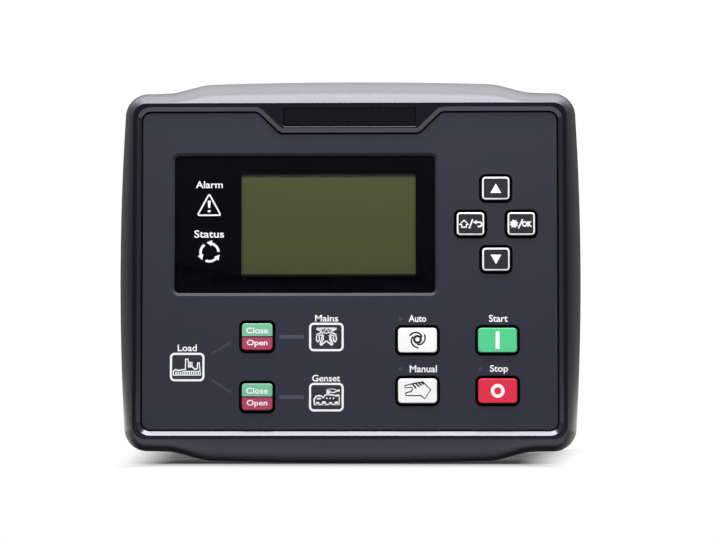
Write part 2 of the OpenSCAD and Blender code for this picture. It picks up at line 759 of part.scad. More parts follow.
module current_sensors() {
  color("#2c3a66") for (c = sensor_c) difference() {
    block(sensor_size, io_back, io_back + sensor_size.z, c);
    rod(sensor_hole_d, io_back + 3, io_back + sensor_size.z + over, c);
  }
}

// The square data socket on the upper step, with its tongue
module data_socket() {
  wall = 0.8;
  color(steel) difference() {
    block([usb_w, usb_h], io_back, header_top, usb_c);
    block([usb_w - 2*wall, usb_h - 2*wall], io_back + 2.5, header_top + over, usb_c);
  }
  color(paper_white) block([5.6, 3.2], io_back + 2.4, header_top - 1.5, usb_c);
}

function header_l(i) = ways[i]*pitch + 2*header_wall + 0.6;
function way_x(i, k) = terminal_c[i].x + (k - (ways[i] - 1)/2)*pitch;

// A shrouded header on the rear board, with a pin for each way
module header(i) {
  pin = 1;
  color(terminal_green) difference() {
    block([header_l(i), header_w], io_back, header_top, terminal_c[i]);
    block([header_l(i) - 2*header_wall, header_w - 2*header_wall], header_floor, header_top + over, terminal_c[i]);
  }
  color(steel) for (k = [0:ways[i] - 1])
    block([pin, pin], header_floor - 0.01, header_top - 2, [way_x(i, k), terminal_c[i].y]);
}

// A plug: its nose inside the header, wire entries on the outer side and screw wells at the back
module plug(i) {
  c = terminal_c[i];
  nose = [header_l(i) - 2*header_wall - 2*plug_gap, header_w - 2*header_wall - 2*plug_gap];
  wire_y = plug_y + 2.4;
  color(terminal_green) difference() {
    union() {
      block(nose, header_floor + 0.6, plug_y + 0.01, c);
      block([header_l(i), plug_w], plug_y, plug_end, c);
    }
    block([nose.x - 2.4, 1.8], header_floor, header_top - 1.2, c);
    for (k = [0:ways[i] - 1]) {
      block([wire_w, wire_l + over], wire_y, wire_y + wire_w,
            [way_x(i, k), c.y + terminal_side[i]*(plug_w + over - wire_l)/2]);
      rod(terminal_screw_d + 2*plug_gap, plug_end - screw_well, plug_end + over, [way_x(i, k), c.y]);
    }
  }
}

module plug_screws(i) {
  color(steel) for (k = [0:ways[i] - 1]) difference() {
    rod(terminal_screw_d, plug_end - screw_well, plug_end - screw_sink, [way_x(i, k), terminal_c[i].y]);
    block([terminal_screw_d + over, screw_slot], plug_end - screw_sink - screw_slot, plug_end,
          [way_x(i, k), terminal_c[i].y]);
  }
}

// The stepped shell behind the panel
module rear_housing() {
  hump_half = [rear_half.x, hump_h/2];
  color(black) difference() {
    union() {
      difference() {
        union() {
          plate(rectangle(rear_half, rear_r), -rear_spigot, step_depth);
          plate(rectangle(hump_half, rear_r), step_depth - 0.01, rear_depth);
        }
        plate(rectangle(cavity_half, rear_r - rear_wall), -rear_spigot - over, step_depth - rear_wall);
        plate(rectangle(hump_half - rear_wall*[1, 1], rear_r - rear_wall), step_depth - rear_wall - 0.01,
              rear_depth - rear_wall);
      }
      for (c = columns) rod(column_d, -rear_spigot, step_depth - 0.01, c);
    }
    for (i = [0:3])
      block([header_l(i) + 0.6, header_w + 0.6], step_depth - rear_wall - over, step_depth + over, terminal_c[i]);
    block([usb_w + 0.6, usb_h + 0.6], step_depth - rear_wall - over, step_depth + over, usb_c);
    for (c = columns) {
      rod(case_screw_d + screw_play, -rear_spigot - over, step_depth + over, c);
      rod(case_head_d + 0.4, column_seat, step_depth + over, c);
    }
    for (sx = [-1, 1]) for (sz = [-1, 1])
      translate([sx*(rear_half.x + over - (clip_t + over)/2), step_depth/2, sz*hump_h/4])
        cube([clip_t + over, clip_w, clip_l], center = true);
  }
}

module case_screws() {
  color(steel) for (c = columns)
    screw(case_screw_d, case_head_d, 2.2, column_seat + rear_spigot + case_screw_grip, column_seat, c);
}

bezel();
badge_plate();
panel_seal();
fascia();
display_lens();
screen_mask();
display_gasket();
lcd_glass();
lcd_backlight();
lcd_frame();
mimic_light_bars();
lamp_light_guides();
key(0, slate, slate);  // key_up
key(1, slate, slate);  // key_down
key(2, slate, slate);  // key_home
key(3, slate, slate);  // key_ok
key(4, jade, signal_red);  // key_mains_breaker
key(5, jade, signal_red);  // key_gen_breaker
key(6, paper_white, paper_white);  // key_auto
key(7, paper_white, paper_white);  // key_manual
key(8, jade, jade);  // key_start
key(9, signal_red, signal_red);  // key_stop
key_mat();
front_board();
board_leds();
processor();
board_link();
board_spacers();
board_screws();
io_board();
relays();
capacitors();
current_sensors();
data_socket();
header(0);  // header_1
header(1);  // header_2
header(2);  // header_3
header(3);  // header_4
plug(0);  // plug_1
plug(1);  // plug_2
plug(2);  // plug_3
plug(3);  // plug_4
plug_screws(0);  // plug_screws_1
plug_screws(1);  // plug_screws_2
plug_screws(2);  // plug_screws_3
plug_screws(3);  // plug_screws_4
rear_housing();
case_screws();
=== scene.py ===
# %% [markdown]
# # A panel-mounted generating-set controller
# This box sits in the door of a generator's control cabinet. From the front it is a
# black flared bezel round a slate fascia, with a display, ten keys and a small drawing
# of the electric circuit. The CAD solids come in first as a fixed frame, and every
# piece made here goes exactly where its solid is, so the machine still works.

# %% Load the frame
import math

import bmesh
import bpy
from bmesh.types import BMEdge, BMFace, BMVert
from mathutils import Matrix, Vector


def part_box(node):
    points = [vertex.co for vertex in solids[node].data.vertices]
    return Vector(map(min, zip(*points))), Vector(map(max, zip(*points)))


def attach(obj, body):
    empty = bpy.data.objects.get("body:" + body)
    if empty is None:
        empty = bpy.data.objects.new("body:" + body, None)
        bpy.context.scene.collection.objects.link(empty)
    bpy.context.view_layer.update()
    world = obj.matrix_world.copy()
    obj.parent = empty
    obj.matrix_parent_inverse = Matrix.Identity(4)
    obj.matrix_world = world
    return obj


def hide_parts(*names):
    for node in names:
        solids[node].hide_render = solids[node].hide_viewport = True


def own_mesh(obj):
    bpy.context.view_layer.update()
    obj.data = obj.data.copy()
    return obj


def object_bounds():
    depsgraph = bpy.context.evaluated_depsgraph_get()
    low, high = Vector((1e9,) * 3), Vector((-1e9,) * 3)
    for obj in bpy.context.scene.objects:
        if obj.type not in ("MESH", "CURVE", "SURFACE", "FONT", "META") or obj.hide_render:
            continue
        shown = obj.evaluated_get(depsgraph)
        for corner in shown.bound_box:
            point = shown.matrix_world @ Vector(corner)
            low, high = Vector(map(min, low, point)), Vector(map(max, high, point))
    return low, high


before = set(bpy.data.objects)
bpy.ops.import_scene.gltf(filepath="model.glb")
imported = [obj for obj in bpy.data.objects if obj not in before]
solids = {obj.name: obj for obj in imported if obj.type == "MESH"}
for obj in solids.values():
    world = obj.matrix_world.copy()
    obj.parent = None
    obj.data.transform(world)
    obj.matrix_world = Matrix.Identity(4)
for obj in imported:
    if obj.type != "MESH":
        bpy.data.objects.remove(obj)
cad_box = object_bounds()

# %% [markdown]
# ## Working face up, in millimetres
# A front panel is easiest to draw lying on its back: x to the right, y up the panel and
# z towards the viewer, all in millimetres. One matrix stands the finished mesh up in the
# frame's metres, where the viewer looks along +Y. The place of a piece ends up in its
# mesh, so its object stays at the origin.

# %% Stand a finished mesh up
MM = 0.001
UPRIGHT = Matrix.Rotation(math.pi / 2, 4, "X") @ Matrix.Scale(MM, 4)


def face_up(node):
    """Lowest and highest corner of a solid, face up, in millimetres."""
    low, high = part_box(node)
    return Vector((low[0], low[2], -high[1])) / MM, Vector((high[0], high[2], -low[1])) / MM


def finished(name, bm, materials, body, replaced=(), sharp=30, at=(0, 0, 0)):
    """Makes bm an object that rides on a body, standing for the solids it replaces."""
    bmesh.ops.recalc_face_normals(bm, faces=bm.faces)
    bm.transform(UPRIGHT @ Matrix.Translation(at))
    mesh = bpy.data.meshes.new(name)
    bm.to_mesh(mesh)
    bm.free()
    for material in materials:
        mesh.materials.append(material)
    mesh.shade_smooth()
    mesh.set_sharp_from_angle(angle=math.radians(sharp))
    piece = bpy.data.objects.new(name, mesh)
    bpy.context.scene.collection.objects.link(piece)
    piece.modifiers.new("flat faces stay flat", "WEIGHTED_NORMAL").keep_sharp = True
    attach(piece, body)
    if replaced:
        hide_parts(*replaced)
    print(name, "faces:", len(mesh.polygons))
    return piece


# %% [markdown]
# ## The camera
# The photograph was taken with a long lens from just below the middle of the front and a
# finger's breadth to its right, so the frame shows hardly any perspective. Turning the
# camera by two small angles about the point it looks at keeps that easy to adjust.

# %% A long lens, almost square on
AIM = Vector((0.00357, 0, 0.0009))
DISTANCE, LENS = 1.1, 121.7
turn, rise = math.radians(1.2), math.radians(-3)
back = Vector((math.sin(turn) * math.cos(rise), -math.cos(turn) * math.cos(rise), math.sin(rise)))
camera = bpy.data.objects.new("camera", bpy.data.cameras.new("camera"))
camera.data.lens = LENS
camera.location = AIM + back * DISTANCE
camera.rotation_euler = (-back).to_track_quat("-Z", "Y").to_euler()
bpy.context.scene.collection.objects.link(camera)
bpy.context.scene.camera = camera
bpy.context.scene.view_settings.view_transform = "Standard"
print("camera", [round(v, 3) for v in camera.location])

# %% [markdown]
# ## Colours and nodes
# Colours are written as the usual six-digit codes and turned into the linear numbers
# that the renderer calculates with. One small function adds a shader node, sets it and
# links it, so that every finish below reads as a list of its own ingredients.


# %% Colour codes and a node helper
def colour(code):
    """A code such as 2b2b2e as linear red, green, blue and alpha."""
    parts = [int(code[i:i + 2], 16) / 255 for i in (0, 2, 4)]
    return [p / 12.92 if p <= 0.04045 else ((p + 0.055) / 1.055) ** 2.4 for p in parts] + [1]


def add(tree, kind, inputs={}, **settings):
    """Adds a node, sets it, and fills its inputs with numbers or links."""
    node = tree.nodes.new(kind)
    for setting, value in settings.items():
        setattr(node, setting, value)
    for key, value in inputs.items():
        if isinstance(value, bpy.types.NodeSocket):
            tree.links.new(value, node.inputs[key])
        else:
            node.inputs[key].default_value = value
    return node


def empty_finish(name):
    """A new material and its node tree."""
    material = bpy.data.materials.new(name)
    material.use_nodes = True
    return material, material.node_tree


print("a middle grey is", round(colour("808080")[0], 3), "of the light")

# %% [markdown]
# ## The studio
# One broad softbox hangs in front of the controller and shines straight down, and a strip
# above the camera lights the front. The ceiling is bright over the object and falls off
# towards the back and the sides; it draws the pale bands along the top of the bezel. Grey
# walls give the flanks their soft edges, and the end behind the camera is dark, which is
# why the display looks black. All this could be built from white boards, but the world
# does it without any: a brightness for each direction. The camera sees plain white.


# %% Softboxes
def softbox(name, place, aim, size, power):
    """A rectangular lamp that points at a place."""
    light = bpy.data.lights.new(name, "AREA")
    light.shape = "RECTANGLE"
    light.size, light.size_y = size
    light.energy = power
    lamp = bpy.data.objects.new(name, light)
    lamp.location = place
    lamp.rotation_euler = (Vector(aim) - Vector(place)).to_track_quat("-Z", "Y").to_euler()
    bpy.context.scene.collection.objects.link(lamp)
    print(name, power, "W")


softbox("overhead", (0, -0.325, 0.62), (0, -0.325, 0), (0.6, 0.55), 12.6)
softbox("front strip", (0, -0.62, 0.6), (0, 0, 0), (0.8, 0.2), 2.6)


# %% Brightness that changes from place to place
def brightness(tree, *slopes):
    """The product of levels that each go from low to high between two places."""
    total = 1.0
    for along, start, end, low, high in slopes:
        slope = add(tree, "ShaderNodeMapRange", {
            "Value": along, "From Min": start, "From Max": end, "To Min": low, "To Max": high},
            interpolation_type="SMOOTHSTEP")
        product = add(tree, "ShaderNodeMath", {0: slope.outputs[0], 1: total}, operation="MULTIPLY")
        total = product.outputs[0]
    return total


world = bpy.data.worlds.new("studio")
bpy.context.scene.world = world
world.use_nodes = True
room = world.node_tree
room.nodes.clear()
towards = add(room, "ShaderNodeTexCoord").outputs["Generated"]
direction = add(room, "ShaderNodeSeparateXYZ", {0: towards})
aside = add(room, "ShaderNodeMath", {0: direction.outputs["X"]}, operation="ABSOLUTE").outputs[0]
behind, above = direction.outputs["Y"], direction.outputs["Z"]
print("world", world.name)

# %% Ceiling, walls and the white backdrop
ceiling = brightness(room, (behind, 0, 1, 7.0, 0.8), (behind, -0.12, 0, 0, 1),
                     (above, 0.2, 0.6, 0, 1), (aside, 0.22, 0.75, 1, 0.08))
walls = brightness(room, (aside, 0, 1.1, 0.07, 0.44), (behind, -0.3, 0.2, 0.45, 1.05))
mirrored = add(room, "ShaderNodeMath", {0: walls, 1: ceiling})
ambient = brightness(room, (behind, -0.2, 0.8, 0.08, 0.8))
rays = add(room, "ShaderNodeLightPath")
shine = add(room, "ShaderNodeMath", {
    0: rays.outputs["Is Glossy Ray"], 1: rays.outputs["Is Transmission Ray"]}, operation="MAXIMUM")
seen = add(room, "ShaderNodeMix", {0: shine.outputs[0], 2: ambient, 3: mirrored.outputs[0]})
level = add(room, "ShaderNodeMix", {0: rays.outputs["Is Camera Ray"], 2: seen.outputs[0], 3: 1.0})
backdrop = add(room, "ShaderNodeBackground", {"Color": colour("ffffff"), "Strength": level.outputs[0]})
add(room, "ShaderNodeOutputWorld", {"Surface": backdrop.outputs[0]})
print("room nodes:", len(room.nodes))

# %% [markdown]
# ## The paper
# The controller stands on white paper. A photographer lights such paper until it is pure
# white, so it glows here for the camera. Only near the object is it matt, and takes the
# real shadow: along the foot, wider towards the back. There the camera sees it painted
# grey, greyer behind the object, as painted shade, and the matt grey fades into the glow
# in front, at the sides and far behind, which paints the shadow's soft edges. A gloss sees
# a painted glow in the paper, which makes painted reflections: bright in front, where it
# draws the band along the bottom crown, bright at the sides, where it lights the lower
# flanks, and dark under the object.

# %% A sheet on the floor
bm = bmesh.new()
bmesh.ops.create_grid(bm, x_segments=1, y_segments=1, size=3)
sheet = bpy.data.meshes.new("paper_floor")
bm.to_mesh(sheet)
bm.free()
floor = bpy.data.objects.new("paper_floor", sheet)
floor.location.z = cad_box[0].z - 0.0002
bpy.context.scene.collection.objects.link(floor)
print("floor at", round(floor.location.z, 4))

# %% Where the paper is matt
SHADOW_LEFT, SPREAD = 0.003, 0.909  # off the middle, and how it widens per metre
white_paper, tree = empty_finish("white paper")
place = add(tree, "ShaderNodeSeparateXYZ", {0: add(tree, "ShaderNodeTexCoord").outputs["Object"]})
deep = place.outputs["Y"]
across = add(tree, "ShaderNodeMath", {0: place.outputs["X"], 1: SHADOW_LEFT})
aside = add(tree, "ShaderNodeMath", {0: across.outputs[0]}, operation="ABSOLUTE").outputs[0]
growth = add(tree, "ShaderNodeMath", {0: deep, 1: SPREAD, 2: 1.0}, operation="MULTIPLY_ADD")
wide = add(tree, "ShaderNodeMath", {0: aside, 1: growth.outputs[0]}, operation="DIVIDE").outputs[0]
# Where the paper is matt it takes the real shadow; the fade into the glow paints the shadow's soft edges,
# and a trace of glow lifts even the darkest shade.
lit = brightness(tree, (wide, 0.076, 0.105, 0.005, 1))
for start, end in ((0, -0.08), (0.17, 0.32)):
    beyond = brightness(tree, (deep, start, end, 0, 1))
    lit = add(tree, "ShaderNodeMath", {0: lit, 1: beyond}, operation="MAXIMUM").outputs[0]
print("shadow widens by", SPREAD, "per metre")

# %% The painted glow that a gloss sees in the paper
# Painted reflection: the paper glows for glossy rays only, bright in front and at the sides, faintly
# violet in front, and painted dark just under the object.
in_front = brightness(tree, (deep, -0.25, -0.08, 0.06, 1.2), (deep, -0.011, -0.001, 1, 0.05))
beside = brightness(tree, (aside, 0.12, 0.26, 0.7, 1.5), (aside, 0.5, 1.5, 1, 0),
                    (deep, -0.07, 0.03, 0, 1), (aside, 0.09, 0.12, 0, 1))
sheen = add(tree, "ShaderNodeMath", {0: in_front, 1: beside}, operation="MAXIMUM")
violet = add(tree, "ShaderNodeMix", {
    0: brightness(tree, (aside, 0.09, 0.12, 0, 1)), 6: colour("ededff"), 7: colour("f4f5ee")},
    data_type="RGBA")
print("sheen nodes:", len(tree.nodes))

# %% The paper's finish
rays = add(tree, "ShaderNodeLightPath")
to_camera, to_gloss = rays.outputs["Is Camera Ray"], rays.outputs["Is Glossy Ray"]
# Painted shade: the camera sees the matt paper grey, and greyer behind the object; light that bounces off
# it sees a plain grey.
painted_shade_behind = add(tree, "ShaderNodeMix", {
    0: brightness(tree, (deep, 0.03, 0.12, 0, 1)), 6: colour("7c7c7c"), 7: colour("5a5a5a")},
    data_type="RGBA")
grey = add(tree, "ShaderNodeMix", {0: to_camera, 6: colour("606060"), 7: painted_shade_behind.outputs[2]},
           data_type="RGBA")
matt = add(tree, "ShaderNodeBsdfDiffuse", {"Color": grey.outputs[2]})
shown = add(tree, "ShaderNodeMix", {0: to_camera, 2: sheen.outputs[0], 3: 1.0})
tinge = add(tree, "ShaderNodeMix", {0: to_camera, 6: violet.outputs[2], 7: colour("ffffff")},
            data_type="RGBA")
glow = add(tree, "ShaderNodeEmission", {"Color": tinge.outputs[2], "Strength": shown.outputs[0]})
share = add(tree, "ShaderNodeMix", {0: to_camera, 2: to_gloss, 3: lit})
mixed = add(tree, "ShaderNodeMixShader", {0: share.outputs[0], 1: matt.outputs[0], 2: glow.outputs[0]})
tree.links.new(mixed.outputs[0], tree.nodes["Material Output"].inputs["Surface"])
floor.data.materials.append(white_paper)
print("paper nodes:", len(tree.nodes))

# %% [markdown]
# ## Moulded plastic
# Nearly all of the case is injection-moulded plastic. Such a surface is never one flat
# colour: the pigment drifts a little over centimetres, and the steel mould was spark
# eroded, which leaves a grain of a few tenths of a millimetre that scatters the gloss.
# One finish with a few numbers covers every moulded part. The pattern sits in object
# coordinates, so its scale can be given in real millimetres.

# %% A finish for moulded plastic
CLOUD = 25  # the pigment drifts over this many millimetres


def moulded(name, code, roughness, grain=0.4, depth=0.01, drift=0.05, gloss=0.5):
    """Moulded plastic with a mould grain, given in millimetres."""
    material, tree = empty_finish(name)
    shader = tree.nodes["Principled BSDF"]
    place = add(tree, "ShaderNodeTexCoord").outputs["Object"]
    cloud = add(tree, "ShaderNodeTexNoise", {
        "Vector": place, "Scale": 1 / (CLOUD * MM), "Detail": 3.0})
    spark = add(tree, "ShaderNodeTexNoise", {
        "Vector": place, "Scale": 1 / (grain * MM), "Detail": 2.0})
    shade = add(tree, "ShaderNodeMapRange", {
        "Value": cloud.outputs[0], "To Min": 1 - drift, "To Max": 1 + drift})
    tint = add(tree, "ShaderNodeHueSaturation", {"Color": colour(code), "Value": shade.outputs[0]})
    scatter = add(tree, "ShaderNodeMapRange", {
        "Value": spark.outputs[0], "To Min": roughness - 0.06, "To Max": roughness + 0.06})
    relief = add(tree, "ShaderNodeBump", {
        "Height": spark.outputs[0], "Strength": 0.35, "Distance": depth * MM})
    tree.links.new(tint.outputs[0], shader.inputs["Base Color"])
    tree.links.new(scatter.outputs[0], shader.inputs["Roughness"])
    tree.links.new(relief.outputs[0], shader.inputs["Normal"])
    shader.inputs["Specular IOR Level"].default_value = gloss
    return material


print("pigment drifts over", CLOUD, "mm")

# %% Black ABS, satin and polished
# Satin ABS draws the studio as soft pale bands. The step round the fascia comes from a
# polished part of the mould, so the ceiling shows in it as one bright line at the bottom.
bezel_black = moulded("black ABS, satin", "121119", 0.24, 0.5, 0.012, gloss=0.65)
step_black = moulded("black ABS, polished step", "121119", 0.2, 0.5, 0.006, gloss=1.0)
for material in (bezel_black, step_black):
    shader = material.node_tree.nodes["Principled BSDF"]
    shader.inputs["Specular Tint"].default_value = colour("f2f0ff")
    print("finish", material.name)

# %% [markdown]
# ## The bezel's outer skin
# The bezel is the finest form of the object. A narrow flat lip runs round the front, and
# from it the plastic flares out and back like the bell of a horn, until it meets the
# cabinet door. The flare isn't even: the flanks bow out at mid-height, and top and
# bottom swell into a crown with S-shaped shoulders. It could be subdivided from a coarse
# cage, but then the lip would wander. Here the lip's outline is a four-cornered face with
# bevelled corners, and its edge is extruded ring by ring. Each point knows where it
# arrives on the flange, and a bent path takes it there: out first, then back.

# %% Where each point of the lip arrives on the flange
LIP = Vector((97.6, 75.7))
FLANGE = Vector((91.9, 70.8))  # centres of the flange's corner arcs
LIP_R, FLANGE_R = 6.0, 10.5
FRONT, SINK = 13.0, 1.8
FLANK, BOW = 104.5, 2.1  # half width at mid-height, and what it loses towards the corners
SHOULDER, ARCH_END = 83, 62  # the crown's S runs between these distances from the middle


def eased(t):
    """Rises from 0 to 1 with a soft start and end."""
    t = min(max(t, 0), 1)
    return t * t * (3 - 2 * t)


def crown(x):
    """Height of the flange's top edge at a distance x from the middle."""
    arch = 0.9 * max(0, 1 - (x / ARCH_END) ** 2)
    droop = 0.9 * eased((x - ARCH_END) / (FLANGE.x - ARCH_END))
    return 82.2 + 3.4 * eased((SHOULDER - x) / (SHOULDER - ARCH_END)) + arch - droop


def arrival(lip):
    """The point of the flange's outline that a point of the lip goes to."""
    x, y = abs(lip.x), abs(lip.y)
    corner = LIP - Vector((LIP_R, LIP_R))
    if x > corner.x and y > corner.y:
        end = FLANGE + (Vector((x, y)) - corner) * FLANGE_R / LIP_R
    elif x > corner.x:
        end = Vector((FLANK - BOW * (y / corner.y) ** 2, FLANGE.y * y / corner.y))
    else:
        end = Vector((FLANGE.x * x / corner.x, crown(FLANGE.x * x / corner.x)))
    return Vector((math.copysign(end.x, lip.x), math.copysign(end.y, lip.y), 0))


print("crown", round(crown(0), 2), "shoulder", round(crown(85), 2))


# %% Rounded outlines from a few corners
def outline(bm, corners, z, segments=8):
    """A flat face with rounded corners, from x, y and the corner's bevel length."""
    verts = [bm.verts.new((x, y, z)) for x, y, _ in corners]
    faces = set(bm.faces)
    bm.faces.new(verts)
    for cut in sorted({c[2] for c in corners}):
        chosen = [v for v, c in zip(verts, corners) if c[2] == cut]
        bmesh.ops.bevel(bm, geom=chosen, offset=cut, segments=segments, profile=0.5,
                        affect="VERTICES", material=-1)
    return next(f for f in bm.faces if f not in faces)


def box_outline(bm, half, radius, z, centre=(0, 0), segments=8):
    """The same for a rectangle."""
    corners = [(centre[0] + sx * half[0], centre[1] + sy * half[1], radius)
               for sx, sy in ((-1, -1), (1, -1), (1, 1), (-1, 1))]
    return outline(bm, corners, z, segments)


def only(kind, made):
    """The vertices, edges or faces among what an operator made."""
    return [g for g in made if isinstance(g, kind)]


trial = bmesh.new()
print("points round a rounded square:", len(box_outline(trial, (10, 10), 2, 0).verts))
trial.free()


# %% Pushing, shrinking and closing faces
LEVEL = 1e-4  # points this close in height are level


def inset(bm, face, width, drop=0):
    """Shrinks a face inside itself and lowers it; the rim is new."""
    bmesh.ops.inset_region(bm, faces=[face], thickness=width, depth=-drop,
                           use_even_offset=True, use_boundary=True)
    return face


def pushed(bm, face, height, closed=False):
    """Extrudes a face along z and gives back the new end; closed keeps the first face."""
    end = only(BMFace, bmesh.ops.extrude_face_region(bm, geom=[face])["geom"])[0]
    bmesh.ops.translate(bm, verts=end.verts, vec=(0, 0, height))
    if not closed:
        bmesh.ops.delete(bm, geom=[face], context="FACES_ONLY")
    return end


def raised(bm, faces, height):
    """Extrudes flat faces together along z."""
    made = bmesh.ops.extrude_face_region(bm, geom=faces)["geom"]
    bmesh.ops.translate(bm, verts=only(BMVert, made), vec=(0, 0, height))


def filled(bm, *heights):
    """Closes the flat bands between open outlines, with holes where they have them."""
    for z in heights:
        rims = [e for e in bm.edges
                if e.is_boundary and all(abs(v.co.z - z) < LEVEL for v in e.verts)]
        bmesh.ops.triangle_fill(bm, edges=rims, use_beauty=True, use_dissolve=False)
    print("open edges left:", sum(not e.is_manifold for e in bm.edges))


def rounded(bm, angle, radius, segments):
    """Gives every edge that is sharper than an angle a small radius."""
    sharp = [e for e in bm.edges if e.is_manifold and e.calc_face_angle() > math.radians(angle)]
    bmesh.ops.bevel(bm, geom=sharp, offset=radius, segments=segments, profile=0.5,
                    affect="EDGES", material=-1, clamp_overlap=True)


# %% Flare the lip out to the flange
STEPS, FLARE = 14, 12
OUT_BEND, BACK_BEND = 0.72, 0.3  # the path's middle point: far out, and not yet back
FOOT = 0.5  # the last ring turns in by this much
bm = bmesh.new()
lip_face = box_outline(bm, LIP, LIP_R, FRONT, segments=14)
bmesh.ops.delete(bm, geom=[lip_face], context="FACES_ONLY")
for along, cuts in ((0, 110), (1, 60)):
    straight = [e for e in bm.edges if abs((e.verts[0].co - e.verts[1].co)[along]) > 100]
    bmesh.ops.subdivide_edges(bm, edges=straight, cuts=cuts)
ring = {v: v.co.copy() for v in bm.verts}
edges = list(bm.edges)
for step in range(1, STEPS + 2):
    made = bmesh.ops.extrude_edge_only(bm, edges=edges)["geom"]
    edges = only(BMEdge, made)
    start = ring
    ring = {}
    for vert in only(BMVert, made):
        root = next(e.other_vert(vert) for e in vert.link_edges if e.other_vert(vert) in start)
        ring[vert] = start[root]
    t = min(step / STEPS, 1)
    out = 2 * t * (1 - t) * OUT_BEND + t * t
    sunk = 2 * t * (1 - t) * BACK_BEND + t * t
    for vert, lip in ring.items():
        end = arrival(lip)
        vert.co = lip.lerp(end, out)
        vert.co.z = FRONT - FLARE * sunk
        if step > STEPS:
            vert.co = end - end.normalized() * FOOT
print("flare rings:", STEPS + 1, "points round:", len(ring))

# %% [markdown]
# ## The bezel's front and back
# Inside the lip, a polished slope leads down to the fascia, and at the top the lip widens
# into a tab that carries a small plate. The slope is one inset of the notched outline,
# lowered as it shrinks, with a finish of its own; a push makes the pocket for the fascia,
# and another outline the opening behind its ledge. The flat bands between two outlines
# are filled by one operator that understands holes. Last, every sharp edge gets the small
# radius that a mould leaves, because that radius is what catches the light.

# %% Slope, pocket and ledge
SLOPE, PLATE, POCKET = 1.9, 2.6, 4
FACE = FRONT - SINK
LEDGE = FACE - PLATE
right = [(40.6, 74, 2.31), (30.6, 64.3, 0.32)]
left = [(-x, y, cut) for x, y, cut in reversed(right)]
notch = [(-95.9, -74, 6.2), (95.9, -74, 6.2), (95.9, 74, 6.2), *right, *left, (-95.9, 74, 6.2)]
well = outline(bm, notch, FRONT)
plain = set(bm.faces)
inset(bm, well, SLOPE, SINK)
for face in set(bm.faces) - plain:
    face.material_index = 1
ledge = pushed(bm, well, -PLATE)
opening = [(-86.5, -66.6, 3), (86.5, -66.6, 3), (86.5, 60.5, 3), (-86.5, 60.5, 3)]
throat = pushed(bm, outline(bm, opening, LEDGE), POCKET - LEDGE)
bmesh.ops.delete(bm, geom=[ledge, throat], context="FACES_ONLY")
print("fascia face at", round(FACE, 2), "ledge at", round(LEDGE, 2))

# %% Seat of the small plate
PLAY = 0.55
low, high = face_up("badge_plate")
middle, half = (low + high) / 2, (high - low) / 2
seat = box_outline(bm, (half.x + PLAY, half.y + PLAY), 1.0, FRONT, (0, middle.y), 4)
pushed(bm, inset(bm, seat, 0.4, 0.6), -0.8)
print("plate", round(2 * half.x, 1), "by", round(2 * half.y, 1), "mm")

# %% Rear pocket, seal groove and the flat bands
GROOVE_WIDTH, GROOVE_DEPTH = 2.4, 1.6
rim = box_outline(bm, (92.3, 70.4), 3.3, POCKET)
made = bmesh.ops.extrude_edge_only(bm, edges=rim.edges)["geom"]
bmesh.ops.translate(bm, verts=only(BMVert, made), vec=(0, 0, -POCKET))
bmesh.ops.delete(bm, geom=[rim], context="FACES_ONLY")
groove = box_outline(bm, (96.4, 74.5), 7.4, 0)
bmesh.ops.delete(bm, geom=[inset(bm, groove, GROOVE_WIDTH)], context="FACES_ONLY")
mouth = [f for f in bm.faces if all(abs(v.co.z) < LEVEL for v in f.verts)]
raised(bm, mouth, GROOVE_DEPTH)
bmesh.ops.delete(bm, geom=[f for f in mouth if f.is_valid], context="FACES")
filled(bm, FRONT, LEDGE, POCKET, 0)


# %% Soften its edges
def in_order(bm):
    """Makes a mesh anew in order of place, so that joining flat faces goes alike in every run."""
    bmesh.ops.recalc_face_normals(bm, faces=bm.faces)
    rank = {v: i for i, v in enumerate(sorted(bm.verts, key=lambda v: v.co[:]))}
    rings = []
    for face in bm.faces:
        ring = [rank[v] for v in face.verts]
        first = ring.index(min(ring))
        rings.append((ring[first:] + ring[:first], face.material_index))
    fresh = bmesh.new()
    points = [fresh.verts.new(v.co) for v in rank]
    for ring, index in sorted(rings):
        fresh.faces.new([points[i] for i in ring]).material_index = index
    fresh.normal_update()
    bm.free()
    return fresh


bm = in_order(bm)
bmesh.ops.dissolve_limit(bm, angle_limit=0.002, verts=bm.verts, edges=bm.edges)
rounded(bm, 17, 0.16, 3)
finished("bezel_moulding", bm, [bezel_black, step_black], "controller", ["bezel"], sharp=40)

# %% [markdown]
# ## Softer edges on the solids
# A solid from CAD has knife edges, and a knife edge shows no highlight. For the plates
# and housings whose shape is already right, a copy of the mesh is cleaned up (doubled
# points merged, flat triangles joined) and its sharp edges get a small bevel. The solid
# itself isn't touched; the copy stands in for it.


# %% A softened copy of a solid
def copied(node):
    """A copy of a solid's mesh, face up, with its doubled points merged."""
    bm = bmesh.new()
    bm.from_mesh(solids[node].data)
    bm.transform(UPRIGHT.inverted())
    bmesh.ops.remove_doubles(bm, verts=bm.verts, dist=0.002)
    return bm


def softened(name, node, material, body, radius):
    """Stands for a solid, with every sharp edge rounded."""
    bm = copied(node)
    bmesh.ops.dissolve_limit(bm, angle_limit=0.01, verts=bm.verts, edges=bm.edges)
    rounded(bm, 35, radius, 2)
    for face in bm.faces:
        face.material_index = 0
    return finished(name, bm, [material], body, [node], sharp=40)


# Matt lacquer shows hardly any gloss, so the fascia is one quiet slate tone.
fascia_slate = moulded("slate lacquer on ABS, matt", "2b2b38", 0.55, 0.25, 0.008, 0.03, gloss=0.25)
softened("fascia_plate", "fascia", fascia_slate, "controller", 0.15)
# The plate in the tab is a little darker and smoother than the bezel round it.
badge_gloss = moulded("blank badge, black", "0c0c0f", 0.35, 0.3, 0.004, gloss=0.2)
softened("badge_blank", "badge_plate", badge_gloss, "controller", 0.15)

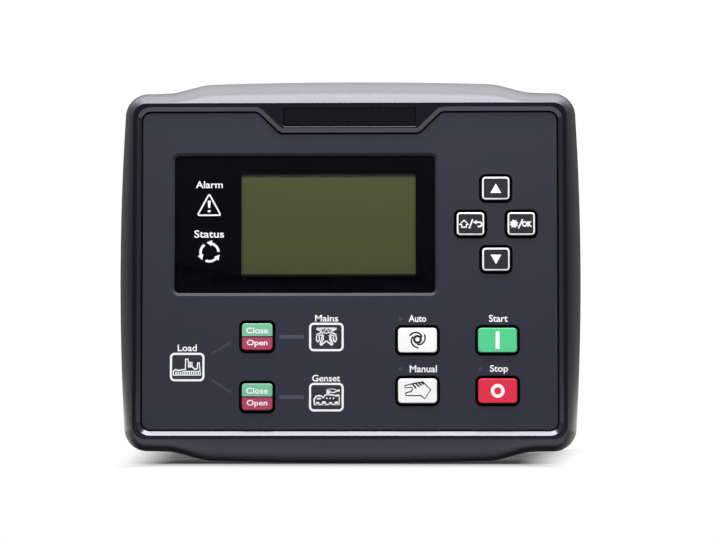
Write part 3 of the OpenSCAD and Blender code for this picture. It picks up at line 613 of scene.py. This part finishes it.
# %% [markdown]
# ## The display
# Behind a flat acrylic window lies a black film with an opening for the screen. Two lamps
# sit behind the film and shine through it only when they are lit, which is called a dead
# front, so the film here is closed over them; their signs are printed on the window. The
# window is clear: it mirrors a little by Fresnel's law and lets the rest of the light
# through, which is all that thin acrylic does, and renders without noise.

# %% Film behind the window
GLASS_BORDER = Vector((4, 5, 0))  # how far the glass reaches behind the film
# A matt film without gloss stays black at any angle.
film_black = moulded("black dead-front film", "24232d", 0.45, 0.2, 0.002, gloss=0)
low, high = face_up("lcd_glass")
screen_mid, screen_half = (low + high) / 2, (high - low) / 2 - GLASS_BORDER
low, high = face_up("screen_mask")
bm = bmesh.new()
for mid, half, radius in (((low + high) / 2, (high - low) / 2, 2.2), (screen_mid, screen_half, 0.4)):
    pushed(bm, box_outline(bm, half, radius, low.z, mid), high.z - low.z, closed=True)
flats = [f for f in bm.faces if abs(f.normal.z) > 0.5]
bmesh.ops.delete(bm, geom=flats, context="FACES_ONLY")
filled(bm, low.z, high.z)
finished("dead_front_film", bm, [film_black], "controller", ["screen_mask"])

# %% The clear window
# Clean acrylic is seen only by what it mirrors; a trace of haze softens that.
lens_clear, tree = empty_finish("clear acrylic window")
tree.nodes.remove(tree.nodes["Principled BSDF"])
place = add(tree, "ShaderNodeTexCoord").outputs["Object"]
haze = add(tree, "ShaderNodeTexNoise", {"Vector": place, "Scale": 1 / (8 * MM), "Detail": 4.0})
polish = add(tree, "ShaderNodeMapRange", {"Value": haze.outputs[0], "To Min": 0.02, "To Max": 0.04})
mirror = add(tree, "ShaderNodeBsdfAnisotropic", {
    "Color": colour("ffffff"), "Roughness": polish.outputs[0]})
through = add(tree, "ShaderNodeBsdfTransparent", {"Color": colour("fdfdfd")})
part = add(tree, "ShaderNodeFresnel", {"IOR": 1.4})
pane = add(tree, "ShaderNodeMixShader", {0: part.outputs[0], 1: through.outputs[0], 2: mirror.outputs[0]})
tree.links.new(pane.outputs[0], tree.nodes["Material Output"].inputs["Surface"])


def dress(material, *names):
    """Gives a finish to solids that keep their shape."""
    for name in names:
        solids[name].data.materials.clear()
        solids[name].data.materials.append(material)
    print(material.name, "on", len(names))


dress(lens_clear, "display_lens")

# %% [markdown]
# ## The liquid crystal
# An idle reflective screen is an even olive with a fine dot grid that is just too small
# to see. The glass is taller than its field of dots, so bare glass shows along the top and
# the bottom, and both strips are painted shade as well: a grey one along the top, under the
# window's edge, and a darker one along the bottom. All of it is painted by position: a
# height picks the strip, and two triangle waves at the dot pitch make the grid.

# %% Olive glass with two strips and a dot grid
HALF_PITCH, GAP = 0.2 * MM, 0.05 * MM
lcd_olive, tree = empty_finish("liquid crystal, idle")
place = add(tree, "ShaderNodeSeparateXYZ", {0: add(tree, "ShaderNodeTexCoord").outputs["Object"]})
waves = [add(tree, "ShaderNodeMath", {0: place.outputs[axis], 1: HALF_PITCH}, operation="PINGPONG")
         for axis in ("X", "Z")]
grid = add(tree, "ShaderNodeMath", {0: waves[0].outputs[0], 1: waves[1].outputs[0]}, operation="MINIMUM")
dot = add(tree, "ShaderNodeMapRange", {
    "Value": grid.outputs[0], "From Max": GAP, "To Min": 0.9, "To Max": 1.0})
olive = add(tree, "ShaderNodeHueSaturation", {"Color": colour("aeb67a"), "Value": dot.outputs[0]})
paint = olive.outputs[0]
# Both strips are bare glass and painted shade: grey at the top, darker at the bottom.
for end, width, code in ((1, 1.7, "8d907c"), (-1, 1.2, "404238")):
    border = (screen_mid.y + end * (screen_half.y - width)) * MM
    strip = add(tree, "ShaderNodeMapRange", {
        "Value": place.outputs["Z"], "From Min": border, "From Max": border + end * 0.3 * MM})
    striped = add(tree, "ShaderNodeMix", {0: strip.outputs[0], 6: paint, 7: colour(code)},
                  data_type="RGBA")
    paint = striped.outputs[2]
shader = tree.nodes["Principled BSDF"]
tree.links.new(paint, shader.inputs["Base Color"])
shader.inputs["Roughness"].default_value = 0.35
dress(lcd_olive, "lcd_glass")

# %% [markdown]
# ## The lamps
# Small light guides of tinted acrylic fill the slots of the circuit drawing and the
# round holes beside the mode keys. Unlit, they are only a shade lighter than the fascia,
# and the two slanted bars on the left are darker than the level ones.

# %% Light guides
LEVEL_SMOKE, SLANTED_SMOKE = "4a4b5b", "393a46"
guide_smoke = moulded("tinted acrylic light guide", LEVEL_SMOKE, 0.5, 0.6, 0.004, 0.02, gloss=0.25)
lamp_smoke = moulded("darker acrylic light guide", "40404d", 0.5, 0.6, 0.004, 0.02, gloss=0.25)
tree = guide_smoke.node_tree
place = add(tree, "ShaderNodeSeparateXYZ", {0: add(tree, "ShaderNodeTexCoord").outputs["Object"]})
slanted = add(tree, "ShaderNodeMapRange", {
    "Value": place.outputs["X"], "From Min": -48 * MM, "From Max": -44 * MM})
smoke = add(tree, "ShaderNodeMix", {
    0: slanted.outputs[0], 6: colour(SLANTED_SMOKE), 7: colour(LEVEL_SMOKE)}, data_type="RGBA")
tree.links.new(smoke.outputs[2], tree.nodes["Hue/Saturation/Value"].inputs["Color"])
dress(guide_smoke, "mimic_light_bars")
dress(lamp_smoke, "lamp_light_guides")

# %% [markdown]
# ## The keys
# Each key is a moulded cap with a flange behind the fascia that keeps it in, and a
# plunger above the board's contact. All ten share one recipe: the flange's outline is
# pushed up, its top is inset to the cap, the cap is pushed up through the fascia, and its
# rim is bevelled. The caps differ only in colour. The four keys of the cross have a white
# line round their edge; the two breaker keys are moulded in two colours, so their mesh is
# cut by planes and the halves take different finishes.

# %% Key finishes
# Keycaps are moulded a little matt, so that a finger leaves no trace and the colour stays
# even. Screen ink is matt as well, and hides what is under it.
# The flange's black is deeper than the other black plastics: partly its own colour, partly painted shade
# for the moat round each key.
flange_black = moulded("black key flange", "060607", 0.6, gloss=0.1)
key_slate = moulded("slate keycap", "25252b", 0.5, 0.3, 0.006, gloss=0.3)
key_white = moulded("white keycap", "f2f3f2", 0.5, 0.5, 0.004, 0.01, gloss=0.3)
key_green = moulded("green keycap", "54cb8d", 0.5, 0.5, 0.004, 0.02, gloss=0.3)
key_red = moulded("red keycap", "dc2d49", 0.5, 0.5, 0.004, 0.02, gloss=0.3)
close_green = moulded("mint keycap half", "77bc9a", 0.5, 0.5, 0.004, 0.02, gloss=0.3)
open_red = moulded("crimson keycap half", "ab405a", 0.5, 0.5, 0.004, 0.02, gloss=0.3)
white_ink = moulded("white screen ink", "f0f0f3", 0.6, 0.15, 0.003, 0.02, gloss=0.2)
dark_ink = moulded("dark screen ink", "16161a", 0.6, 0.15, 0.003, 0.02, gloss=0.2)
print("materials so far:", len(bpy.data.materials))

# %% One key
TOP, FLANGE_T, LAP, KEY_R, PLUNGER_R = 12.2, 0.8, 2.1, 1.5, 3
FLANGE_ONLY, CAP_RIM = LEDGE + 0.1, TOP - 0.45  # heights that part flange, wall and rim


def key_blank(node):
    """A key from flange to cap; gives back its mesh, its middle and the flat top."""
    low, high = face_up(node)
    mid, half = (low + high) / 2, (high - low) / 2
    bm = bmesh.new()
    foot = box_outline(bm, half, KEY_R + LAP, LEDGE - FLANGE_T, mid)
    flange = pushed(bm, foot, FLANGE_T, closed=True)
    cap = pushed(bm, inset(bm, flange, LAP), TOP - LEDGE)
    bmesh.ops.bevel(bm, geom=list(cap.edges), offset=0.4, segments=4, profile=0.5,
                    affect="EDGES", material=-1)
    reach = LEDGE - FLANGE_T - low.z
    bmesh.ops.create_cone(bm, cap_ends=True, segments=32, radius1=PLUNGER_R, radius2=PLUNGER_R,
                          depth=reach, matrix=Matrix.Translation((mid.x, mid.y, low.z + reach / 2)))
    cap = max((f for f in bm.faces if f.normal.z > 0.99), key=lambda f: f.calc_center_median().z)
    return bm, mid, cap


def painted(bm, choose):
    """Sets each face's finish by a rule on its middle."""
    for face in bm.faces:
        face.material_index = choose(face.calc_center_median())


print("caps stand", round(TOP - FACE, 2), "mm out of the fascia")

# %% The key cross
CROSS = ("up", "down", "home", "ok")
WHITE_LINE = 0.34
for name in CROSS:
    bm, _, cap = key_blank("key_" + name)
    inset(bm, cap, WHITE_LINE)
    painted(bm, lambda c: 2 if c.z < FLANGE_ONLY else 1 if c.z > CAP_RIM else 0)
    cap.material_index = 0
    finished("cap_" + name, bm, [key_slate, white_ink, flange_black], name + "_key",
             ["key_" + name])

# %% The mode keys
MODES = {"auto": (key_white, "key_white"), "manual": (key_white, "key_white"),
         "start": (key_green, "key_green"), "stop": (key_red, "key_red")}
for name, (finish, slot) in MODES.items():
    bm, _, _ = key_blank("key_" + name)
    painted(bm, lambda c: 1 if c.z < FLANGE_ONLY else 0)
    finished("cap_" + name, bm, [finish, flange_black], name + "_key", ["key_" + name])

# %% The two-colour breaker keys
BREAKERS = ("mains_breaker", "gen_breaker")
SEAM = 0.25  # half of the dark line between the colours
for name in BREAKERS:
    bm, mid, _ = key_blank("key_" + name)
    for cut in (-SEAM, SEAM):
        bmesh.ops.bisect_plane(bm, geom=bm.verts[:] + bm.edges[:] + bm.faces[:],
                               plane_co=(0, mid.y + cut, 0), plane_no=(0, 1, 0))
    painted(bm, lambda c: 2 if c.z < FLANGE_ONLY or abs(c.y - mid.y) < SEAM else 0 if c.y > mid.y else 1)
    finished("cap_" + name, bm, [close_green, open_red, flange_black], name + "_key",
             ["key_" + name])

# %% [markdown]
# ## Printing
# The words and signs are screen printed: a skin of ink a few hundredths of a millimetre
# thick. An image would blur up close and can't be exported cleanly, so the ink is real
# geometry. Everything is drawn flat first. Words come from Blender's own font, set to the
# size they have on the panel; lines are curves whose ribbon lies in the drawing's plane;
# frames, rings and arrowheads are circles and outlines with an inset. At the end the
# whole drawing is thickened and laid on the surface that carries it.


# %% Pens for words and lines
def poured(bm, curve, fit=None):
    """Adds a curve's mesh to a drawing; fit is the x, y, width and height it fills."""
    holder = bpy.data.objects.new("pen", curve)
    mesh = bpy.data.meshes.new_from_object(holder)
    if fit:
        x, y, width, height = fit
        low = Vector([min(v.co[i] for v in mesh.vertices) for i in range(3)])
        high = Vector([max(v.co[i] for v in mesh.vertices) for i in range(3)])
        scale = Matrix.Diagonal((width / (high.x - low.x), height / (high.y - low.y), 1, 1))
        mesh.transform(Matrix.Translation((x, y, 0)) @ scale @ Matrix.Translation(-(low + high) / 2))
    bm.from_mesh(mesh)
    bpy.data.objects.remove(holder)
    bpy.data.curves.remove(curve)
    bpy.data.meshes.remove(mesh)


def word(bm, text, x, y, width, height, weight=0.017):
    """Lettering that fills a box round x, y."""
    curve = bpy.data.curves.new(text, "FONT")
    curve.body, curve.offset, curve.resolution_u = text, weight, 4
    poured(bm, curve, (x, y, width, height))


def line(bm, points, width, at=(0, 0), closed=False):
    """A ribbon of ink through the points."""
    curve = bpy.data.curves.new("line", "CURVE")
    curve.dimensions, curve.twist_mode, curve.extrude = "3D", "Z_UP", width / 2
    spline = curve.splines.new("POLY")
    spline.points.add(len(points) - 1)
    spline.use_cyclic_u = closed
    for point, (x, y) in zip(spline.points, points):
        point.co, point.tilt = (x + at[0], y + at[1], 0, 1), math.pi / 2
    poured(bm, curve)


trial = bmesh.new()
line(trial, [(0, 0), (5, 0), (5, 5)], 0.6)
print("faces in a line with one bend:", len(trial.faces))
trial.free()

# %% Pens for arcs, discs and rings, and the press
INK, BITE = 0.03, 0.004  # thickness of the ink, and how deep it sits in the surface


def arc(radius, start, end, growth=0, steps=24):
    """Points along an arc in degrees, whose radius may grow."""
    angles = [start + (end - start) * i / steps for i in range(steps + 1)]
    return [((radius + growth * i / steps) * math.cos(math.radians(a)),
             (radius + growth * i / steps) * math.sin(math.radians(a))) for i, a in enumerate(angles)]


def disc(bm, radius, at=(0, 0), sides=32, turn=0, stretch=(1, 1)):
    """A filled disc, or with few sides a triangle."""
    shape = (Matrix.Translation((*at, 0)) @ Matrix.Diagonal((*stretch, 1, 1))
             @ Matrix.Rotation(math.radians(turn), 4, "Z"))
    made = bmesh.ops.create_circle(bm, cap_ends=True, radius=radius, segments=sides, matrix=shape)
    return made["verts"][0].link_faces[0]


def hollow(bm, face, width):
    """Leaves only the rim of a face."""
    bmesh.ops.delete(bm, geom=[inset(bm, face, width)], context="FACES_ONLY")


def printed(name, bm, ink, body, at):
    """Thickens a drawing and lays it on a surface."""
    raised(bm, bm.faces[:], INK)
    return finished(name, bm, [ink], body, at=Vector(at) - Vector((0, 0, BITE)))


print("ink", INK, "mm thick")

# %% Words and frames on the fascia
WORDS = (("Load", -73.0, -34.7, 8.6, 3.0), ("Mains", -10.3, -21.4, 10.4, 3.0),
         ("Genset", -10.5, -48.3, 12.6, 3.0), ("Auto", 30.5, -21.5, 7.9, 3.2),
         ("Manual", 33.1, -44.1, 12.2, 3.2), ("Start", 66.8, -21.5, 8.4, 3.2),
         ("Stop", 67.0, -44.4, 8.1, 4.0))
LOAD, MAINS, GENERATOR = (-73.0, -43.3), (-10.4, -29.8), (-10.4, -56.8)
bm = bmesh.new()
for text, x, y, width, height in WORDS:
    word(bm, text, x, y, width, height)
for centre in (LOAD, MAINS, GENERATOR):
    hollow(bm, box_outline(bm, (7.78, 6.4), 2.1, 0, centre), 0.95)
print("words:", len(WORDS), "faces:", len(bm.faces))

# %% The factory
WALLS = [(-6.2, -3.6), (-6.2, -1.9), (-5.3, -1.1), (-3.9, -1.5), (-0.8, -1.0), (-0.7, 3.6),
         (0.3, 3.6), (0.5, 2.2), (2.2, 2.1), (2.2, 0.5), (3.3, -0.95), (4.4, -0.8), (4.8, 1.9),
         (5.4, 1.9), (6.0, -3.6)]
line(bm, WALLS, 0.65, LOAD, closed=True)
line(bm, [(1.3, 2.2), (1.3, -0.2)], 1.9, LOAD)
for x in range(-5, 6):
    line(bm, [(x, -3.5), (x, -2.0)], 0.55, LOAD)
line(bm, [(-2.0, -1.9), (5.8, -1.9)], 0.4, LOAD)
print("with the factory:", len(bm.faces))

# %% The pylon
PYLON = (([(0, 4.0), (4.6, 4.0)], 0.4), ([(4.5, 3.8), (2.5, 2.9)], 0.95), ([(2.5, 3.8), (2.4, 1.8)], 0.6),
         ([(2.4, 2.6), (1.7, 3.9), (0.8, 2.5), (0, 3.8)], 0.45), ([(2.3, 2.4), (0, 1.6)], 0.4),
         ([(4.6, 1.1), (2.4, 1.9)], 0.5), ([(4.6, 0.9), (1.7, 0.8)], 0.5),
         ([(1.8, 1.6), (2.0, -0.8), (2.9, -3.4)], 0.6), ([(2.8, -3.5), (2.2, -3.6), (0, -1.7)], 0.6),
         ([(1.3, 0.9), (1.4, -1.2), (2.3, -3.3)], 0.35))
for side in (-1, 1):
    for points, width in PYLON:
        line(bm, [(x * side, y) for x, y in points], width, MAINS)
    loop = (MAINS[0] + 3.8 * side, MAINS[1] - 0.65)
    hollow(bm, disc(bm, 1.75, loop, stretch=(0.55, 1)), 0.55)
print("with the pylon:", len(bm.faces))

# %% The generating set
SET = (([(-5.6, -3.3), (6.0, -3.3)], 0.6), ([(5.8, -3.2), (5.8, 1.0)], 0.5),
       ([(4.0, 0.6), (5.9, 0.9)], 0.9),
       ([(-5.4, -3.2), (-5.5, -1.0), (-4.7, 0.3), (-3.3, 0.7), (-2.1, 0.4), (-1.4, -0.3), (-0.6, 0.9),
         (1.0, 1.1), (3.4, 0.9), (4.4, 0.5)], 0.65),
       ([(-4.2, -0.65), (-2.5, -0.65)], 0.65), ([(0.7, 1.0), (0.7, 3.5)], 1.4),
       ([(4.3, 2.8), (6.0, 3.0)], 0.9), ([(0.3, 3.3), (3.0, 3.7)], 0.6))
WINDOWS = ((0.2, -0.5, 0.38), (1.7, -0.5, 0.38), (3.2, -0.5, 0.38))
FEET = ((-3.9, -2.8, 0.85), (-1.1, -2.7, 1.05), (1.9, -2.9, 0.85), (4.5, -2.7, 0.95))
for points, width in SET:
    line(bm, points, width, GENERATOR)
for x, y, size in (*WINDOWS, *FEET):
    disc(bm, size, (GENERATOR[0] + x, GENERATOR[1] + y), 16, stretch=(1, 0.9))
pipe = (GENERATOR[0] + 2.9, GENERATOR[1] + 2.85)
hollow(bm, disc(bm, 1.0, pipe, stretch=(1.85, 1)), 0.5)
printed("fascia_print", bm, white_ink, "controller", (0, 0, FACE))

# %% The alarm and status signs on the window
WARNING, ROUND = (-63.4, 28.4), (-63.2, 8.4)
bm = bmesh.new()
word(bm, "Alarm", -63.4, 39.0, 12.2, 3.2, 0.012)
word(bm, "Status", -63.4, 16.7, 13.4, 3.4, 0.012)
sign = disc(bm, 7.2, WARNING, sides=3, stretch=(0.94, 0.99))
bmesh.ops.bevel(bm, geom=list(sign.verts), offset=1.5, segments=4, profile=0.5,
                affect="VERTICES", material=-1)
large = [f for f in bm.faces if len(f.verts) > 8]
hollow(bm, min(large, key=lambda f: abs(f.calc_center_median().y - WARNING[1])), 0.7)
mark = [(-0.72, 3.4), (-0.45, 0.1), (0.45, 0.1), (0.72, 3.4)]
outline(bm, [(x + WARNING[0], y + WARNING[1], 0.35) for x, y in mark], 0, 4)
disc(bm, 0.62, (WARNING[0], WARNING[1] - 1.4), 16, stretch=(1.15, 0.85))
for start in (4, 124, 244):
    end = start + 76
    line(bm, arc(4.05, start, end), 1.1, ROUND)
    x, y = arc(4.25, end, end + 7)[-1]
    disc(bm, 1.6, (x + ROUND[0], y + ROUND[1]), sides=3, turn=end)
low, high = face_up("display_lens")
printed("lens_print", bm, white_ink, "controller", (0, 0, high.z))


# %% Signs on the key cross
def on_key(name, bm, ink):
    """Prints a drawing on the middle of a key."""
    low, high = face_up("key_" + name)
    middle = ((low.x + high.x) / 2, (low.y + high.y) / 2, TOP)
    printed("sign_" + name, bm, ink, name + "_key", middle)


for name, turn in (("up", 0), ("down", 180)):
    bm = bmesh.new()
    disc(bm, 2.85, (0, 0.7 if turn else -0.7), sides=3, turn=turn)
    on_key(name, bm, white_ink)

HOUSE = [(-4.9, -0.3), (-2.9, 1.6), (-1.0, -0.2), (-1.8, -0.3), (-1.9, -1.5), (-3.95, -1.5),
         (-4.0, -0.4)]
bm = bmesh.new()
line(bm, HOUSE, 0.75, closed=True)
line(bm, [(1.0, 2.0), (-0.6, -2.1)], 0.7)
line(bm, [(2.4, 0.7), (4.4, 0.7), (5.0, 0.2), (5.0, -0.7), (4.4, -1.2), (3.2, -1.2)], 0.75)
disc(bm, 1.15, (2.2, 0.7), sides=3, turn=90)
on_key("home", bm, white_ink)

bm = bmesh.new()
gear_mid = Vector((-3.3, 0, 0))
gear = disc(bm, 2.1, gear_mid.xy, sides=24)
for i, vert in enumerate(gear.verts):
    if i % 3 != 1:
        vert.co = gear_mid.lerp(vert.co, 0.72)
line(bm, [(0.6, 2.0), (-1.3, -2.1)], 0.7)
word(bm, "OK", 2.6, -0.1, 4.5, 2.6, 0.05)
on_key("ok", bm, white_ink)

# %% Words on the breaker keys
for name in BREAKERS:
    bm = bmesh.new()
    word(bm, "Close", 0, 2.8, 9.8, 2.7)
    word(bm, "Open", 0, -3.0, 9.3, 3.3)
    on_key(name, bm, white_ink)

# %% Signs on the mode keys
bm = bmesh.new()
hollow(bm, disc(bm, 2.0, (0, 0.4)), 1.0)
for start in (26, 146, 266):
    line(bm, arc(2.2, start, start + 130, 1.6), 0.7, (0, 0.4))
on_key("auto", bm, dark_ink)

HAND = [(-5.0, -0.75), (-5.4, -1.3), (-5.2, -2.1), (1.5, -2.1), (3.3, -3.5), (5.9, 0.6), (2.3, 4.1),
        (-1.8, 3.3), (-5.6, 2.4), (-5.6, 1.3), (-2.7, 1.7), (-2.2, 0.6), (-3.0, -0.3)]
FINGERS = ((-2.3, 3.2, 1.7, 2.1), (-1.0, 3.5, 1.9, 1.7), (0.3, 3.75, 1.6, 1.3), (1.7, 3.95, 1.0, 1.0))
bm = bmesh.new()
line(bm, HAND, 0.55, closed=True)
for x, y, over, fall in FINGERS:
    line(bm, [(x, y), (x + over, y - fall)], 0.68)
on_key("manual", bm, dark_ink)

bm = bmesh.new()
box_outline(bm, (0.92, 3.95), 0.2, 0)
on_key("start", bm, white_ink)
bm = bmesh.new()
hollow(bm, disc(bm, 3.1), 1.5)
on_key("stop", bm, white_ink)

# %% [markdown]
# ## The back
# Behind the panel sits a stepped black housing. Wires go to green plug-in terminal
# blocks, as on every controller of this kind, and a small socket takes a data cable. The
# housing and the plugs are softened copies; screws, pins and seal keep their solids.

# %% Finishes of the back
# The housing's coarse grain scatters the light and hides scratches; rubber is dull, and
# solder mask shiny and cloudy over the glass fibre.
housing_black = moulded("black PC-ABS, coarse grain", "1b1b1d", 0.5, 0.7, 0.03)
terminal_green = moulded("green polyamide terminal", "2c8a4b", 0.38, 0.8, 0.006)
seal_rubber = moulded("black EPDM rubber", "1c1c1e", 0.75, 0.5, 0.02)
mat_rubber = moulded("grey silicone rubber", "6a6c70", 0.65, 0.6, 0.01)
board_green = moulded("green solder mask on glass fibre", "1d5634", 0.3, 1.2, 0.01, 0.15)
chip_black = moulded("black epoxy package", "1e1e20", 0.55, 0.3, 0.006)
relay_blue = moulded("blue polyester relay case", "2b5f9e", 0.4, 0.6, 0.006)
diffuser_white = moulded("white acrylic diffuser", "e8e8e4", 0.5, 0.6, 0.006)
print("materials so far:", len(bpy.data.materials))

# %% Zinc-plated steel
# Drawn wire and sheet keep fine lines along the pull, which stretch the highlights.
LINE_LENGTH, LINE_WIDTH = 2 * MM, 0.15 * MM


def metal(name, code, roughness):
    """Plated steel with fine drawing lines along X."""
    material, tree = empty_finish(name)
    shader = tree.nodes["Principled BSDF"]
    place = add(tree, "ShaderNodeTexCoord").outputs["Object"]
    stretch = add(tree, "ShaderNodeMapping", {
        "Vector": place, "Scale": (1 / LINE_LENGTH, 1 / LINE_WIDTH, 1 / LINE_WIDTH)})
    drawn = add(tree, "ShaderNodeTexNoise", {
        "Vector": stretch.outputs[0], "Scale": 1.0, "Detail": 2.0})
    shine = add(tree, "ShaderNodeMapRange", {
        "Value": drawn.outputs[0], "To Min": roughness - 0.08, "To Max": roughness + 0.08})
    tone = add(tree, "ShaderNodeMapRange", {"Value": drawn.outputs[0], "To Min": 0.9, "To Max": 1.05})
    tint = add(tree, "ShaderNodeHueSaturation", {"Color": colour(code), "Value": tone.outputs[0]})
    tree.links.new(tint.outputs[0], shader.inputs["Base Color"])
    tree.links.new(shine.outputs[0], shader.inputs["Roughness"])
    shader.inputs["Metallic"].default_value = 1.0
    return material


steel = metal("zinc-plated steel", "b8bbbe", 0.32)
print("finish", steel.name)

# %% Housing, plugs and the rest
softened("rear_shell", "rear_housing", housing_black, "controller", 0.3)
for i in range(1, 5):
    softened(f"terminal_plug_{i}", f"plug_{i}", terminal_green, "controller", 0.15)
    dress(steel, f"plug_screws_{i}")
    dress(terminal_green, f"header_{i}")
dress(seal_rubber, "panel_seal", "display_gasket")
dress(board_green, "front_board", "io_board")
dress(chip_black, "processor", "board_link", "capacitors")
dress(relay_blue, "relays", "current_sensors")
dress(diffuser_white, "lcd_backlight", "board_leds")
dress(steel, "lcd_frame", "board_spacers", "board_screws", "case_screws", "data_socket")

# %% [markdown]
# ## The rubber mat under the keys
# A sheet of silicone rubber lies on the front board, with a collar under each key. The
# collar carries the key and folds as it goes in. So the sheet is the solid cut off just
# above its front, and each collar is a ring of its own.

# %% The sheet
SHEET, STUB = 1.2, 0.05  # the sheet's thickness, and what is left of the collars on it
low, high = face_up("key_mat")
fold = low.z + SHEET
bm = copied("key_mat")
bmesh.ops.bisect_plane(bm, geom=bm.verts[:] + bm.edges[:] + bm.faces[:], clear_outer=True,
                       plane_co=(0, 0, fold + STUB), plane_no=(0, 0, 1))
filled(bm, fold + STUB)
finished("mat_sheet", bm, [mat_rubber], "controller", ["key_mat"], sharp=40)

# %% The collars
WALL, TRAVEL = 0.7, 0.9
SKIRT, SPARE = 0.1, 0.02  # the flange overhangs the collar, and a little air stays under it
height = high.z - fold
for name in (*CROSS, *BREAKERS, *MODES):
    low, high = face_up("key_" + name)
    half = (high - low) / 2 - Vector((SKIRT, SKIRT, 0))
    bm = bmesh.new()
    hollow(bm, box_outline(bm, half, KEY_R + LAP - SKIRT, fold, (low + high) / 2), WALL)
    raised(bm, bm.faces[:], height)
    collar = finished("collar_" + name, bm, [mat_rubber], "controller")
    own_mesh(collar)
